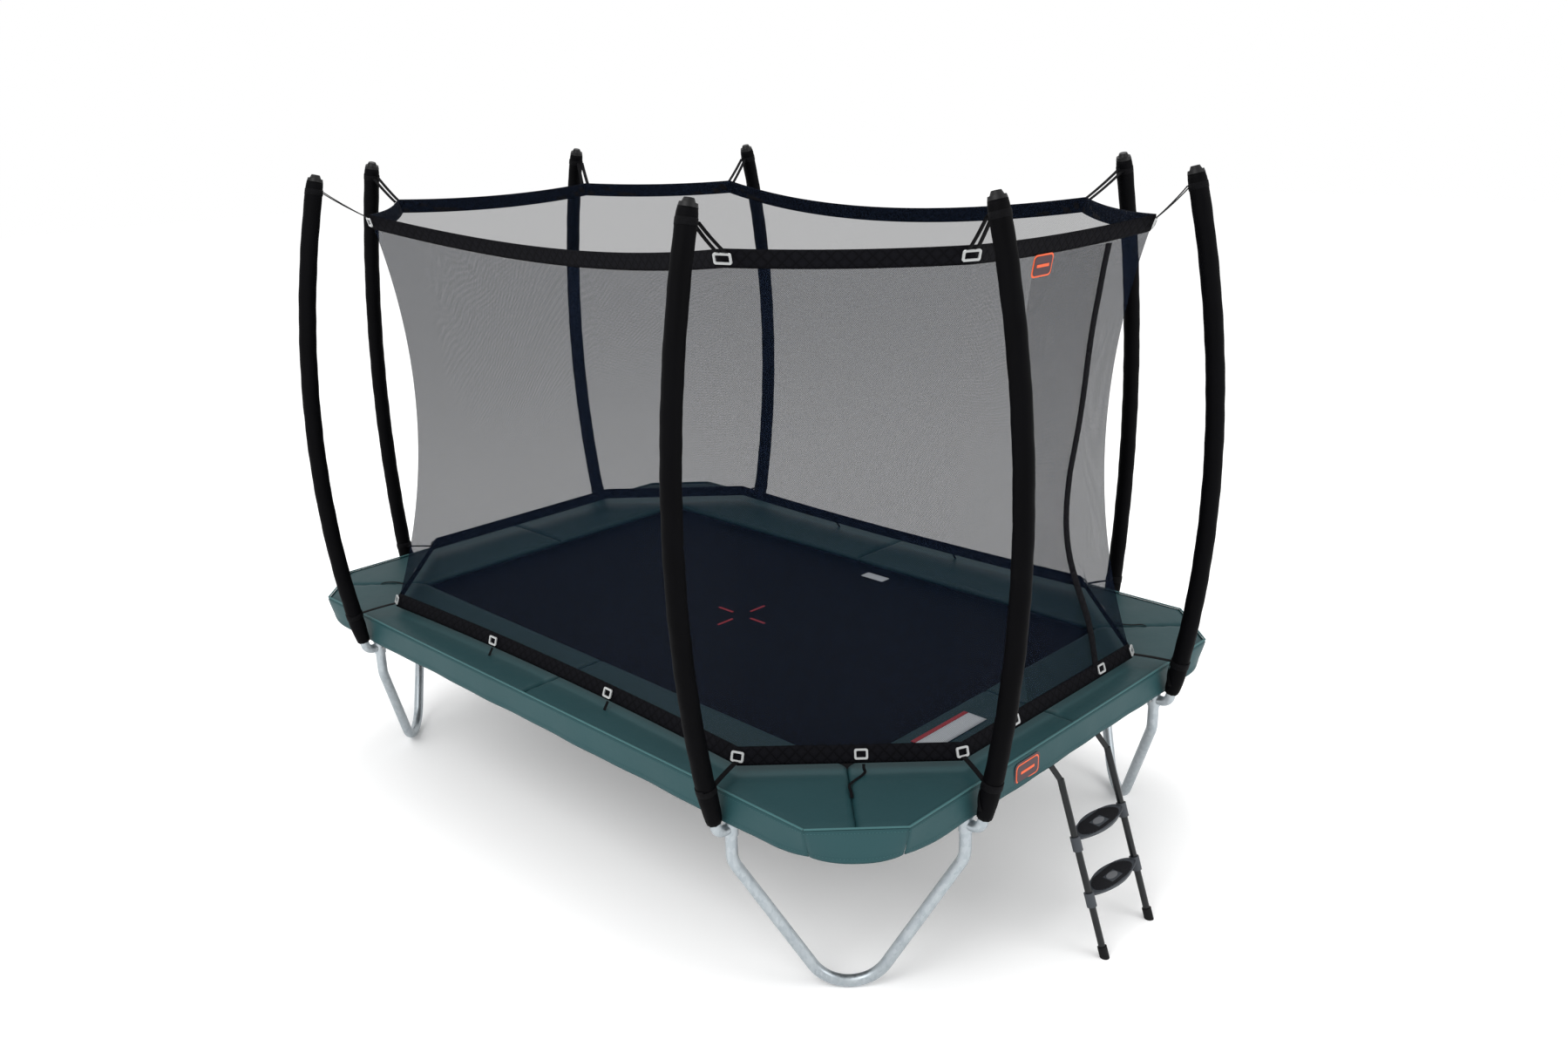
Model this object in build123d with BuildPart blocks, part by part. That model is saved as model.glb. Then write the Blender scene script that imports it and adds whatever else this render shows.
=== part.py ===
from build123d import *
from math import radians, sqrt, tan
import os

# Rectangular garden trampoline with a safety net and a ladder.
# Millimetres. +Z is up, the origin is on the floor under the middle of the frame.
# The long sides run along X, and the ladder hooks onto the +X end.

# Frame of round tube
tube_radius = 21
tube_wall = 2
frame_half_length = 1688  # to the tube's centre line
frame_half_width = 1153
frame_corner_radius = 360
frame_level = 728
swage_length = 50
swage_clearance = 0.3

# Legs: one bent tube across each corner
leg_along = 1125  # from the middle of a long side to its leg
leg_across = 617  # from the middle of a short side to its leg
leg_knee_level = 507
leg_knee_radius = 90
leg_bottom_radius = 150
leg_clearance = 0.3
socket_wall = 3.5
socket_depth = 38
weld_gap = 0.05
collar_height = 56
collar_level = 634
screw_radius = 4
screw_clearance = 0.3
screw_head_radius = 7
screw_head_height = 5.5

# Net poles: steel tubes in foam sleeves
pole_radius = 19
pole_wall = 2
pole_foot_out = 75  # the pole's offset outside the frame tube at its foot, belly and top
pole_foot_level = 700
pole_belly_out = 172
pole_belly_level = 1650
pole_top_out = 35
pole_top_level = 2640
pole_lean = 1.0  # degrees, towards the middle of the side
elbow_radius = 38
sleeve_radius = 33.5
sleeve_clearance = 0.4
cap_wall = 2.5
cap_seat_radius = 30.8
cap_skirt = 13
cap_skirt_taper = 12
cap_dome = 14
cap_dome_taper = 24

# Net
net_low = 812
net_high = 2503
net_low_long = (1081, 1070)  # the lower corner beside a long side, and so on
net_low_short = (1618, 548)
net_high_long = (1033, 1007)
net_high_short = (1604, 537)
net_waist = 138  # how far tension pulls the middle of its height inward
net_thickness = 1.2
net_steps = 6
bow_long = (30, 95, 75)  # middle of a side: inward at the bottom and top, and sag of the top
bow_short = (0, 25, 18)
bow_corner = (0, 15, 10)
layer_gap = 0.3
band_height = 60
band_thickness = 3.2

# Doorway in the net, on the ladder side
doorway_half = 300  # the stretch of that side that is straight, each way
curtain_hem = -150  # where the loose curtain starts
curtain_edge = 270  # its outer edge, with a webbing strip along it
inner_sheet_hem = -100  # free edge of the sheet behind the curtain
webbing_width = 40
webbing_low = 1250
webbing_high = 2050
webbing_gap = 1

# Pad over the springs
pad_half_length = 1720
pad_half_width = 1185
pad_corner_cut = 230
opening_half_length = 1313
opening_half_width = 783
pad_thickness = 36.5
pad_gap = 0.3
cover_thickness = 1.5
foam_clearance = 0.4
skirt_height = 108
skirt_thickness = 2
seam_gap = 0.5

# Mat, rings and springs
mat_half_length = 1450
mat_half_width = 915
mat_thickness = 3
ring_reach = 30
ring_width = 34
ring_wire = 4
seat_gap = 0.3
spring_pitch = 100
corner_spring_pitch = 36
spring_radius = 9.5
barrel_length = 130
hook_radius = 2
hook_hole_radius = 2.8
hook_inside = 10
spring_count_long = 25
spring_count_short = 15
spring_count_corner = 3

# Ladder
ladder_half_width = 155
ladder_middle = -6
ladder_foot_out = 1973
ladder_lean = 18.7
ladder_rail_radius = 12.5
ladder_rail_wall = 1.5
ladder_rail_top = 632
hook_thickness = 5
hook_width = 26
hook_clearance = 0.4
hook_low = 674
hook_recess_gap = 1
step_levels = {"ladder_step_lower": 216, "ladder_step_upper": 414}
step_thickness = 10
step_front = 42
step_back = 58
step_collar_radius = 18
step_collar_height = 52
step_collar_below = 36.4
ladder_fit = 0.2
rubber_radius = 17
rubber_height = 58
rubber_wall = 5

# Straps and buckles
strap_width = 20
strap_thickness = 1.6
strap_pitch = 24
strap_gap = 0.4
strap_pole_level = 815
strap_end_gap = 3.7
buckle_width = 46
high_buckle_width = 62
buckle_corner_gap = 0.7
buckle_edge_gap = 1.7
buckle_height = 36
buckle_rim = 7
buckle_thickness = 5
band_buckle_offset = 370  # buckles on a long side, each way from its middle
edge_buckle_share = 0.1  # and just beside the middle of a corner or short side

os.makedirs("parts", exist_ok=True)

quadrants = {"front_right": (1, -1), "front_left": (-1, -1), "back_right": (1, 1), "back_left": (-1, 1)}
arc_x = frame_half_length - frame_corner_radius
arc_y = frame_half_width - frame_corner_radius


def save(builder, name):
    builder.part.label = name
    export_step(builder.part, "parts/" + name + ".step")


def unit(x, y):
    return Vector(x, y, 0).normalized()


# Each leg, socket and pole stands where a leg meets the frame: its place on the frame tube,
# the way out of the frame, and the way to the middle of its side.
stands = []
for sx, sy in quadrants.values():
    stands.append((Vector(sx * leg_along, sy * frame_half_width), Vector(0, sy), Vector(-sx, 0)))
    stands.append((Vector(sx * frame_half_length, sy * leg_across), Vector(sx, 0), Vector(0, -sy)))

# Each spring has a point on the mat's edge, the way out, and the distance to the frame tube.
# The corner springs are as long as the others, which sets the cut across the mat's corner.
spring_reach = frame_half_width - tube_radius - mat_half_width
end_spring_reach = frame_half_length - tube_radius - mat_half_length
arc_inner_radius = frame_corner_radius - tube_radius
mat_corner_cut = 2 * (spring_reach / sqrt(2) - arc_x - arc_inner_radius / sqrt(2) + mat_half_length)
straight_springs = []
for side in (1, -1):
    for i in range(spring_count_long):
        x = (i - (spring_count_long - 1) / 2) * spring_pitch
        straight_springs.append((Vector(x, side * mat_half_width, frame_level), Vector(0, side), spring_reach))
    for i in range(spring_count_short):
        y = (i - (spring_count_short - 1) / 2) * spring_pitch
        spot = Vector(side * mat_half_length, y, frame_level)
        straight_springs.append((spot, Vector(side, 0), end_spring_reach))
corner_springs = []
for sx, sy in quadrants.values():
    cut_middle = Vector(
        sx * (mat_half_length - mat_corner_cut / 2), sy * (mat_half_width - mat_corner_cut / 2), frame_level
    )
    from_arc_centre = cut_middle - Vector(sx * arc_x, sy * arc_y, frame_level)
    for i in range(spring_count_corner):
        aside = unit(-sx, sy) * ((i - (spring_count_corner - 1) / 2) * corner_spring_pitch)
        across = (from_arc_centre + aside).dot(unit(-sx, sy))
        along = (from_arc_centre + aside).dot(unit(sx, sy))
        reach = sqrt(arc_inner_radius**2 - across**2) - along
        corner_springs.append((cut_middle + aside, unit(sx, sy), reach))


springs_all = straight_springs + corner_springs


def spring_plane(spot, outward, distance):
    return Plane(origin=spot + outward * distance, x_dir=(0, 0, 1), z_dir=outward)


# Frame rails: straight tubes with a row of holes for the springs' hooks
rails = {
    "frame_rail_front": (Vector(-arc_x, -frame_half_width, frame_level), Vector(1, 0), 2 * arc_x),
    "frame_rail_back": (Vector(-arc_x, frame_half_width, frame_level), Vector(1, 0), 2 * arc_x),
    "frame_rail_left": (Vector(-frame_half_length, -arc_y, frame_level), Vector(0, 1), 2 * arc_y),
    "frame_rail_right": (Vector(frame_half_length, -arc_y, frame_level), Vector(0, 1), 2 * arc_y),
}
for name, (start, along, length) in rails.items():
    with BuildPart() as rail:
        with BuildSketch(Plane(origin=start, z_dir=along)):
            Circle(tube_radius)
            Circle(tube_radius - tube_wall, mode=Mode.SUBTRACT)
        extrude(amount=length)
        for spot, outward, distance in straight_springs:
            if outward.dot(along) == 0 and outward.dot(start) > 0:
                with BuildSketch(spring_plane(spot, outward, distance)):
                    Circle(hook_hole_radius)
                extrude(amount=tube_wall + hook_radius, both=True, mode=Mode.SUBTRACT)
    save(rail, name)

# Frame corners: a quarter bend, with a thinner end that slides into each rail
plug_radius = tube_radius - tube_wall - swage_clearance
for corner, (sx, sy) in quadrants.items():
    arc_centre = Vector(sx * arc_x, sy * arc_y, frame_level)
    long_end = arc_centre + Vector(0, sy * frame_corner_radius)
    short_end = arc_centre + Vector(sx * frame_corner_radius, 0)
    with BuildPart() as bend:
        with BuildLine():
            path = ThreePointArc(long_end, arc_centre + unit(sx, sy) * frame_corner_radius, short_end)
        with BuildSketch(Plane(origin=path @ 0, z_dir=path % 0)):
            Circle(tube_radius)
            Circle(tube_radius - tube_wall, mode=Mode.SUBTRACT)
        sweep()
        for end, inward in ((long_end, Vector(-sx, 0)), (short_end, Vector(0, -sy))):
            with BuildSketch(Plane(origin=end, z_dir=inward)):
                Circle(plug_radius)
                Circle(plug_radius - tube_wall, mode=Mode.SUBTRACT)
            extrude(amount=swage_length)
            with BuildSketch(Plane(origin=end, z_dir=-inward)):
                Circle(tube_radius - tube_wall / 2)
                Circle(plug_radius - tube_wall, mode=Mode.SUBTRACT)
            extrude(amount=tube_wall)
        for spot, outward, distance in corner_springs:
            if outward.dot(Vector(sx, sy)) > 1:
                with BuildSketch(spring_plane(spot, outward, distance)):
                    Circle(hook_hole_radius)
                extrude(amount=tube_wall + hook_radius, both=True, mode=Mode.SUBTRACT)
    save(bend, "frame_corner_" + corner)

# Legs: down from the long side, across under the corner and up to the short side
# The two slopes of a leg meet at a point under the floor, so that the bend between them rests on it.
leg_top = frame_level - tube_radius - socket_wall
leg_half_span = Vector(frame_half_length - leg_along, frame_half_width - leg_across).length / 2
bend_share = 1 - (leg_bottom_radius / leg_half_span) ** 2
bend_rise = leg_bottom_radius + tube_radius - leg_knee_level
leg_drop = (sqrt(bend_rise**2 - bend_share * (bend_rise**2 - leg_bottom_radius**2)) - bend_rise) / bend_share
for corner, (sx, sy) in quadrants.items():
    long_foot = Vector(sx * leg_along, sy * frame_half_width)
    short_foot = Vector(sx * frame_half_length, sy * leg_across)
    with BuildPart() as leg:
        with BuildLine():
            FilletPolyline(
                long_foot + Vector(0, 0, leg_top),
                long_foot + Vector(0, 0, leg_knee_level),
                (long_foot + short_foot) / 2 + Vector(0, 0, leg_knee_level - leg_drop),
                short_foot + Vector(0, 0, leg_knee_level),
                short_foot + Vector(0, 0, leg_top),
                radius=[leg_knee_radius, leg_bottom_radius, leg_knee_radius],
            )
        with BuildSketch(Plane(origin=long_foot + Vector(0, 0, leg_top), z_dir=(0, 0, -1))):
            Circle(tube_radius)
            Circle(tube_radius - tube_wall, mode=Mode.SUBTRACT)
        sweep()
        for place, outward, inward in stands:
            with BuildSketch(Plane(origin=place + Vector(0, 0, collar_level), z_dir=inward)):
                Circle(screw_radius + screw_clearance)
            extrude(amount=2 * tube_radius, mode=Mode.SUBTRACT)
    save(leg, "leg_" + corner)

# Leg sockets: short tubes saddled to the underside of the frame
socket_radius = tube_radius + leg_clearance + socket_wall
socket_low = frame_level - tube_radius - socket_depth
with BuildPart() as leg_sockets:
    for place, outward, inward in stands:
        with BuildSketch(Plane(origin=place + Vector(0, 0, socket_low))):
            Circle(socket_radius)
        extrude(amount=frame_level - socket_low)
    for place, outward, inward in stands:
        with BuildSketch(Plane(origin=place + Vector(0, 0, socket_low))):
            Circle(tube_radius + leg_clearance)
        extrude(amount=leg_top + leg_clearance - socket_low, mode=Mode.SUBTRACT)
        with BuildSketch(Plane(origin=place + Vector(0, 0, frame_level), z_dir=inward)):
            Circle(tube_radius + weld_gap)
        extrude(amount=2 * socket_radius, both=True, mode=Mode.SUBTRACT)
        with BuildSketch(Plane(origin=place + Vector(0, 0, frame_level - tube_radius / 2))):
            Rectangle(3 * socket_radius, 3 * socket_radius)
        extrude(amount=tube_radius, mode=Mode.SUBTRACT)
save(leg_sockets, "leg_sockets")

# Pole elbows: a collar round the leg, with a bent stub that turns up into the pole.
# Each pole lies in a plane of its own, X outward and Y up, with its origin in the collar.
pole_planes = []
for place, outward, inward in stands:
    upward = Vector(0, 0, 1) + inward * tan(radians(pole_lean))
    origin = place + Vector(0, 0, collar_level)
    pole_planes.append(Plane(origin=origin, x_dir=outward, z_dir=outward.cross(upward)))
foot_point = (pole_foot_out, pole_foot_level - collar_level)
belly_point = (pole_belly_out, pole_belly_level - collar_level)
top_point = (pole_top_out, pole_top_level - collar_level)
pole_curve = ThreePointArc(foot_point, belly_point, top_point)
foot_way = pole_curve % 0
top_way = pole_curve % 1
bend_point = (pole_foot_out - foot_point[1] * foot_way.X / foot_way.Y, 0)
with BuildPart() as pole_elbows:
    for (place, outward, inward), plane in zip(stands, pole_planes):
        with BuildSketch(Plane(origin=place + Vector(0, 0, collar_level - collar_height / 2))):
            Circle(socket_radius)
        extrude(amount=collar_height)
        with BuildLine(plane):
            stub = FilletPolyline((0, 0), bend_point, foot_point, radius=elbow_radius)
        with BuildSketch(Plane(origin=stub @ 0, z_dir=stub % 0)):
            Circle(pole_radius)
        sweep(path=stub)
    for (place, outward, inward), plane in zip(stands, pole_planes):
        with BuildLine(plane):
            stub = FilletPolyline((0, 0), bend_point, foot_point, radius=elbow_radius)
        with BuildSketch(Plane(origin=stub @ 0, z_dir=stub % 0)):
            Circle(pole_radius - pole_wall)
        sweep(path=stub, mode=Mode.SUBTRACT)
        with BuildSketch(Plane(origin=place + Vector(0, 0, collar_level - collar_height / 2))):
            Circle(tube_radius + leg_clearance)
        extrude(amount=collar_height, mode=Mode.SUBTRACT)
        with BuildSketch(Plane(origin=place + Vector(0, 0, collar_level), z_dir=inward)):
            Circle(screw_radius + screw_clearance)
        extrude(amount=2 * socket_radius, mode=Mode.SUBTRACT)
save(pole_elbows, "pole_elbows")

# Socket screws: one through each collar into its leg
with BuildPart() as socket_screws:
    for place, outward, inward in stands:
        head_face = place + Vector(0, 0, collar_level) + inward * (socket_radius + seat_gap)
        with BuildSketch(Plane(origin=head_face, z_dir=inward)):
            RegularPolygon(screw_head_radius, 6)
        extrude(amount=screw_head_height)
        with BuildSketch(Plane(origin=head_face, z_dir=-inward)):
            Circle(screw_radius)
        extrude(amount=socket_wall + 3 * tube_wall)
save(socket_screws, "socket_screws")


def pole_out(height):
    """How far out of its socket a pole stands at a height in its plane."""
    radius = pole_curve.radius
    centre = pole_curve.arc_center
    return centre.X + sqrt(radius**2 - (height - centre.Y) ** 2)


def pole_sweep(plane, outer, inner):
    """Sweep a ring along one pole."""
    with BuildPart() as piece:
        with BuildLine(plane):
            line = ThreePointArc(foot_point, belly_point, top_point)
        with BuildSketch(Plane(origin=line @ 0, z_dir=line % 0)):
            Circle(outer)
            Circle(inner, mode=Mode.SUBTRACT)
        sweep(path=line)
    return piece.part


with BuildPart() as pole_tubes:
    for plane in pole_planes:
        add(pole_sweep(plane, pole_radius, pole_radius - pole_wall))
save(pole_tubes, "pole_tubes")
with BuildPart() as pole_sleeves:
    for plane in pole_planes:
        add(pole_sweep(plane, sleeve_radius, pole_radius + sleeve_clearance))
save(pole_sleeves, "pole_sleeves")

# Pole caps: a domed cap over the top of each pole
cap_radius = pole_radius + sleeve_clearance + cap_wall
with BuildPart() as pole_caps:
    for plane in pole_planes:
        pole_end = plane.from_local_coords(Vector(*top_point))
        axis = plane.from_local_coords(Vector(*top_point) + top_way) - pole_end
        seat = Plane(origin=pole_end + axis * seat_gap, z_dir=axis)
        with BuildSketch(seat):
            Circle(cap_seat_radius)
        extrude(amount=cap_skirt, taper=cap_skirt_taper)
        with BuildSketch(seat.offset(cap_skirt)):
            Circle(cap_radius)
        extrude(amount=cap_dome, taper=cap_dome_taper)
save(pole_caps, "pole_caps")


# Net. A station is an upright plane through the net's lower edge: its X points outward,
# and it holds how far the net leans in, bows in at the bottom and top, and how far the top sags.
def station(low, outward, lean, bow=(0, 0, 0)):
    plane = Plane(origin=low, x_dir=outward, z_dir=outward.cross(Vector(0, 0, 1)))
    return plane, lean, bow


def corner_station(sx, sy, low, high):
    low_point = Vector(sx * low[0], sy * low[1])
    lean = low_point - Vector(sx * high[0], sy * high[1])
    return station(low_point, lean.normalized(), lean.length)


def side_station(first, second, bow):
    """Half-way along a side of the net, between two corner stations."""
    low = (first[0].origin + second[0].origin) / 2
    along = (second[0].origin - first[0].origin).normalized()
    outward = along.cross(Vector(0, 0, 1))
    leans = (first[0].x_dir * first[1] + second[0].x_dir * second[1]) / 2
    return station(low, outward, leans.dot(outward), bow)


def net_top(stop):
    return net_high - stop[2][2]


def net_levels(stop, low, high):
    """The heights at which a hanging sheet bends, between two heights."""
    knots = [net_low + band_height + (net_high - net_low) * i / net_steps for i in range(net_steps)]
    knots += [net_low, net_top(stop) - band_height, net_top(stop)]
    return [low] + sorted(knot for knot in knots if low < knot < high) + [high]


def net_out(stop, level):
    """The net's outward offset from its lower edge, straight between two bends."""
    lean, (bow_low, bow_high, sag) = stop[1:]
    knots = net_levels(stop, net_low, net_top(stop))
    below = max(knot for knot in knots[:-1] if knot <= level)
    above = min(knot for knot in knots if knot > below)
    offsets = []
    for knot in (below, above):
        t = (knot - net_low) / (net_high - net_low)
        offsets.append(-(lean * t + 4 * net_waist * t * (1 - t) + bow_low + (bow_high - bow_low) * t))
    return offsets[0] + (offsets[1] - offsets[0]) * (level - below) / (above - below)


def net_point(stop, level, layer):
    return stop[0].from_local_coords(Vector(net_out(stop, level) + layer, level))


def net_strip(stop, low, high, inner, outer):
    """The outline of a hanging sheet at one station, from inner to outer of the net's surface."""
    levels = net_levels(stop, low, high)
    outline = [(net_out(stop, level) + outer, level) for level in levels]
    outline += [(net_out(stop, level) + inner, level) for level in reversed(levels)]
    with BuildSketch(stop[0]) as strip:
        with BuildLine():
            Polyline(*outline, close=True)
        make_face()
    return strip.sketch


# Counter-clockwise from the front side's left corner
long_left_front = corner_station(-1, -1, net_low_long, net_high_long)
long_right_front = corner_station(1, -1, net_low_long, net_high_long)
short_right_front = corner_station(1, -1, net_low_short, net_high_short)
short_right_back = corner_station(1, 1, net_low_short, net_high_short)
long_right_back = corner_station(1, 1, net_low_long, net_high_long)
long_left_back = corner_station(-1, 1, net_low_long, net_high_long)
short_left_back = corner_station(-1, 1, net_low_short, net_high_short)
short_left_front = corner_station(-1, -1, net_low_short, net_high_short)

door_lean = net_low_short[0] - net_high_short[0]


def door_station(y):
    return station(Vector(net_low_short[0], y), Vector(1, 0), door_lean, bow_short)


sides = {
    "net_front": (long_left_front, side_station(long_left_front, long_right_front, bow_long), long_right_front),
    "net_corner_front_right": (
        long_right_front,
        side_station(long_right_front, short_right_front, bow_corner),
        short_right_front,
    ),
    "net_door_side": (short_right_front, door_station(-doorway_half), door_station(curtain_hem)),
    "net_door_inner": (door_station(inner_sheet_hem), door_station(doorway_half), short_right_back),
    "net_corner_back_right": (
        short_right_back,
        side_station(short_right_back, long_right_back, bow_corner),
        long_right_back,
    ),
    "net_back": (long_right_back, side_station(long_right_back, long_left_back, bow_long), long_left_back),
    "net_corner_back_left": (
        long_left_back,
        side_station(long_left_back, short_left_back, bow_corner),
        short_left_back,
    ),
    "net_left": (short_left_back, side_station(short_left_back, short_left_front, bow_short), short_left_front),
    "net_corner_front_left": (
        short_left_front,
        side_station(short_left_front, long_left_front, bow_corner),
        long_left_front,
    ),
}
for name, stops in sides.items():
    with BuildPart() as panel:
        loft([net_strip(stop, net_low, net_top(stop), -net_thickness, 0) for stop in stops], ruled=True)
    save(panel, name)

# Bands sewn round the net's lower and upper edges, outside the curtain
band_inner = 2 * layer_gap + net_thickness
band_outer = band_inner + band_thickness
ring_sides = dict(sides)
del ring_sides["net_door_inner"]
ring_sides["net_door_side"] = (
    short_right_front,
    door_station(-doorway_half),
    door_station(doorway_half),
    short_right_back,
)
with BuildPart() as bottom_band:
    for stops in ring_sides.values():
        strips = [net_strip(stop, net_low, net_low + band_height, band_inner, band_outer) for stop in stops]
        loft(strips, ruled=True)
save(bottom_band, "bottom_band")
with BuildPart() as top_band:
    for stops in ring_sides.values():
        strips = []
        for stop in stops:
            strips.append(net_strip(stop, net_top(stop) - band_height, net_top(stop), band_inner, band_outer))
        loft(strips, ruled=True)
save(top_band, "top_band")

# Curtain: the loose flap over the doorway, in three heights, with webbing along its free edge.
# The webbing's middle length is what slides aside.
heights = {
    "curtain_lower": (net_low + band_height + layer_gap, webbing_low - webbing_gap),
    "curtain_middle": (webbing_low, webbing_high),
    "curtain_upper": (webbing_high + webbing_gap, net_high - bow_short[2] - band_height - layer_gap),
}
webbing_stops = (door_station(curtain_edge - webbing_width), door_station(curtain_edge))
for name, (low, high) in heights.items():
    with BuildPart() as flap:
        flap_stops = (door_station(curtain_hem), door_station(curtain_edge))
        strips = [net_strip(stop, low, high, layer_gap, layer_gap + net_thickness) for stop in flap_stops]
        loft(strips, ruled=True)
        if name != "curtain_middle":
            loft([net_strip(stop, low, high, band_inner, band_outer) for stop in webbing_stops], ruled=True)
    save(flap, name)
with BuildPart() as door_webbing:
    low, high = heights["curtain_middle"]
    loft([net_strip(stop, low, high, band_inner, band_outer) for stop in webbing_stops], ruled=True)
save(door_webbing, "door_webbing")

# Pad: eight hollow covers, from the middle of each side to the middle of each corner
pad_low = frame_level + tube_radius + pad_gap
cut_x = pad_half_length - pad_corner_cut
cut_y = pad_half_width - pad_corner_cut
cut_middle_x = pad_half_length - pad_corner_cut / 2
cut_middle_y = pad_half_width - pad_corner_cut / 2
long_half = [
    (0, opening_half_width),
    (opening_half_length, opening_half_width),
    (cut_middle_x, cut_middle_y),
    (cut_x, pad_half_width),
    (0, pad_half_width),
]
short_half = [
    (opening_half_length, 0),
    (pad_half_length, 0),
    (pad_half_length, cut_y),
    (cut_middle_x, cut_middle_y),
    (opening_half_length, opening_half_width),
]
pad_side_gap = skirt_thickness + pad_gap
hook_recess_radius = tube_radius + hook_clearance + hook_thickness + hook_recess_gap
rail_places = [ladder_middle - ladder_half_width, ladder_middle + ladder_half_width]


def pad_outline(points, sx, sy, level, inset):
    """A pad section's outline, drawn in from its edges."""
    with BuildSketch(Plane.XY.offset(level)) as outline:
        with BuildLine():
            Polyline(*[(sx * x, sy * y) for x, y in points], close=True)
        make_face()
        offset(amount=-inset, kind=Kind.INTERSECTION, mode=Mode.REPLACE)
    return outline.sketch


def hook_recess(y, extra):
    """Room for one of the ladder's hooks where it goes over the frame tube."""
    width = hook_width + 2 * hook_recess_gap + 2 * extra
    with BuildPart() as recess:
        with BuildSketch(Plane(origin=(frame_half_length, y - width / 2, frame_level), z_dir=(0, 1, 0))):
            Circle(hook_recess_radius + extra)
        extrude(amount=width)
    return recess.part


pad_sections = {}
for corner, (sx, sy) in quadrants.items():
    side, end = corner.split("_")
    pad_sections["pad_" + side + "_" + end] = (long_half, sx, sy)
    pad_sections["pad_" + end + "_" + side] = (short_half, sx, sy)
with BuildPart() as pad_foam:
    for name, (points, sx, sy) in pad_sections.items():
        foam_inset = pad_side_gap + cover_thickness + foam_clearance
        foam_low = pad_low + cover_thickness + foam_clearance
        extrude(pad_outline(points, sx, sy, foam_low, foam_inset), pad_thickness - 2 * (foam_low - pad_low))
    for y in rail_places:
        add(hook_recess(y, cover_thickness + foam_clearance), mode=Mode.SUBTRACT)
save(pad_foam, "pad_foam")
for name, (points, sx, sy) in pad_sections.items():
    inner_low = pad_low + cover_thickness
    with BuildPart() as cover:
        extrude(pad_outline(points, sx, sy, pad_low, pad_side_gap), pad_thickness)
        extrude(
            pad_outline(points, sx, sy, inner_low, pad_side_gap + cover_thickness),
            pad_thickness - 2 * cover_thickness,
            mode=Mode.SUBTRACT,
        )
        if "pad_right" in name:
            for y in rail_places:
                if y * sy > 0:
                    shell = hook_recess(y, cover_thickness)
                    with BuildPart(mode=Mode.PRIVATE) as lining:
                        add(shell)
                        split(bisect_by=Plane.XY.offset(pad_low))
                    add(lining.part)
                    add(hook_recess(y, 0), mode=Mode.SUBTRACT)
    save(cover, name)

# Skirts hang from the pad's outer edge
skirt_low = pad_low + pad_thickness - skirt_height
skirt_runs = {
    "skirt_front": ((cut_x, -pad_half_width), (-cut_x, -pad_half_width)),
    "skirt_back": ((-cut_x, pad_half_width), (cut_x, pad_half_width)),
    "skirt_left": ((-pad_half_length, -cut_y), (-pad_half_length, cut_y)),
    "skirt_right": ((pad_half_length, cut_y), (pad_half_length, -cut_y)),
}


def skirt_wall(start, end):
    """A thin upright strip, its outer face on the line from start to end."""
    run = Vector(*start) - Vector(*end)
    middle = (Vector(*start) + Vector(*end)) / 2 + Vector(0, 0, skirt_low)
    with BuildSketch(Plane(origin=middle, x_dir=run.normalized())) as strip:
        with Locations((0, -skirt_thickness / 2)):
            Rectangle(run.length - 2 * seam_gap, skirt_thickness)
    return extrude(strip.sketch, skirt_height)


for name, (start, end) in skirt_runs.items():
    with BuildPart() as skirt:
        add(skirt_wall(start, end))
    save(skirt, name)
with BuildPart() as skirt_corners:
    for sx, sy in quadrants.values():
        long_end = (sx * cut_x, sy * pad_half_width)
        short_end = (sx * pad_half_length, sy * cut_y)
        add(skirt_wall(short_end, long_end) if sx * sy > 0 else skirt_wall(long_end, short_end))
save(skirt_corners, "skirt_corners")

# Mat, with its corners cut off
with BuildPart() as mat:
    with BuildSketch(Plane.XY.offset(frame_level - mat_thickness / 2)) as mat_outline:
        Rectangle(2 * mat_half_length, 2 * mat_half_width)
        chamfer(mat_outline.vertices(), mat_corner_cut)
    extrude(amount=mat_thickness)
save(mat, "mat")

# Rings: a wire triangle at each spring, sewn to the mat's edge
with BuildPart() as wire_ring:
    with BuildSketch(Plane.YZ.offset(-ring_wire / 2)):
        with BuildLine():
            Polyline(
                (-ring_width / 2, seat_gap),
                (-ring_wire, ring_reach),
                (ring_wire, ring_reach),
                (ring_width / 2, seat_gap),
                close=True,
            )
        make_face()
        offset(amount=-ring_wire, kind=Kind.INTERSECTION, mode=Mode.SUBTRACT)
    extrude(amount=ring_wire)
with BuildPart() as mat_rings:
    with Locations(*[spring_plane(spot, outward, 0) for spot, outward, distance in springs_all]):
        add(wire_ring.part)
save(mat_rings, "mat_rings")


# Springs: a coil barrel with a straight hook at each end, the outer one through the frame's hole
def coil_spring(distance):
    with BuildPart() as spring:
        with BuildSketch(Plane.XY.offset((ring_reach + distance - barrel_length) / 2)):
            Circle(spring_radius)
        extrude(amount=barrel_length)
        with BuildSketch(Plane.XY.offset(ring_reach + seat_gap)):
            Circle(hook_radius)
        extrude(amount=distance + hook_inside - ring_reach - seat_gap)
    return spring.part


with BuildPart() as springs:
    for reach in sorted({round(distance, 3) for spot, outward, distance in springs_all}):
        places = [spring_plane(spot, outward, 0) for spot, outward, distance in springs_all
                  if round(distance, 3) == reach]
        with Locations(*places):
            add(coil_spring(reach))
save(springs, "springs")

# Ladder rails: a tube flattened at the top, bent in and over the frame tube
lean_slope = tan(radians(ladder_lean))
hook_middle = tube_radius + hook_clearance + hook_thickness / 2


def rail_out(level):
    return ladder_foot_out - level * lean_slope


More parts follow.
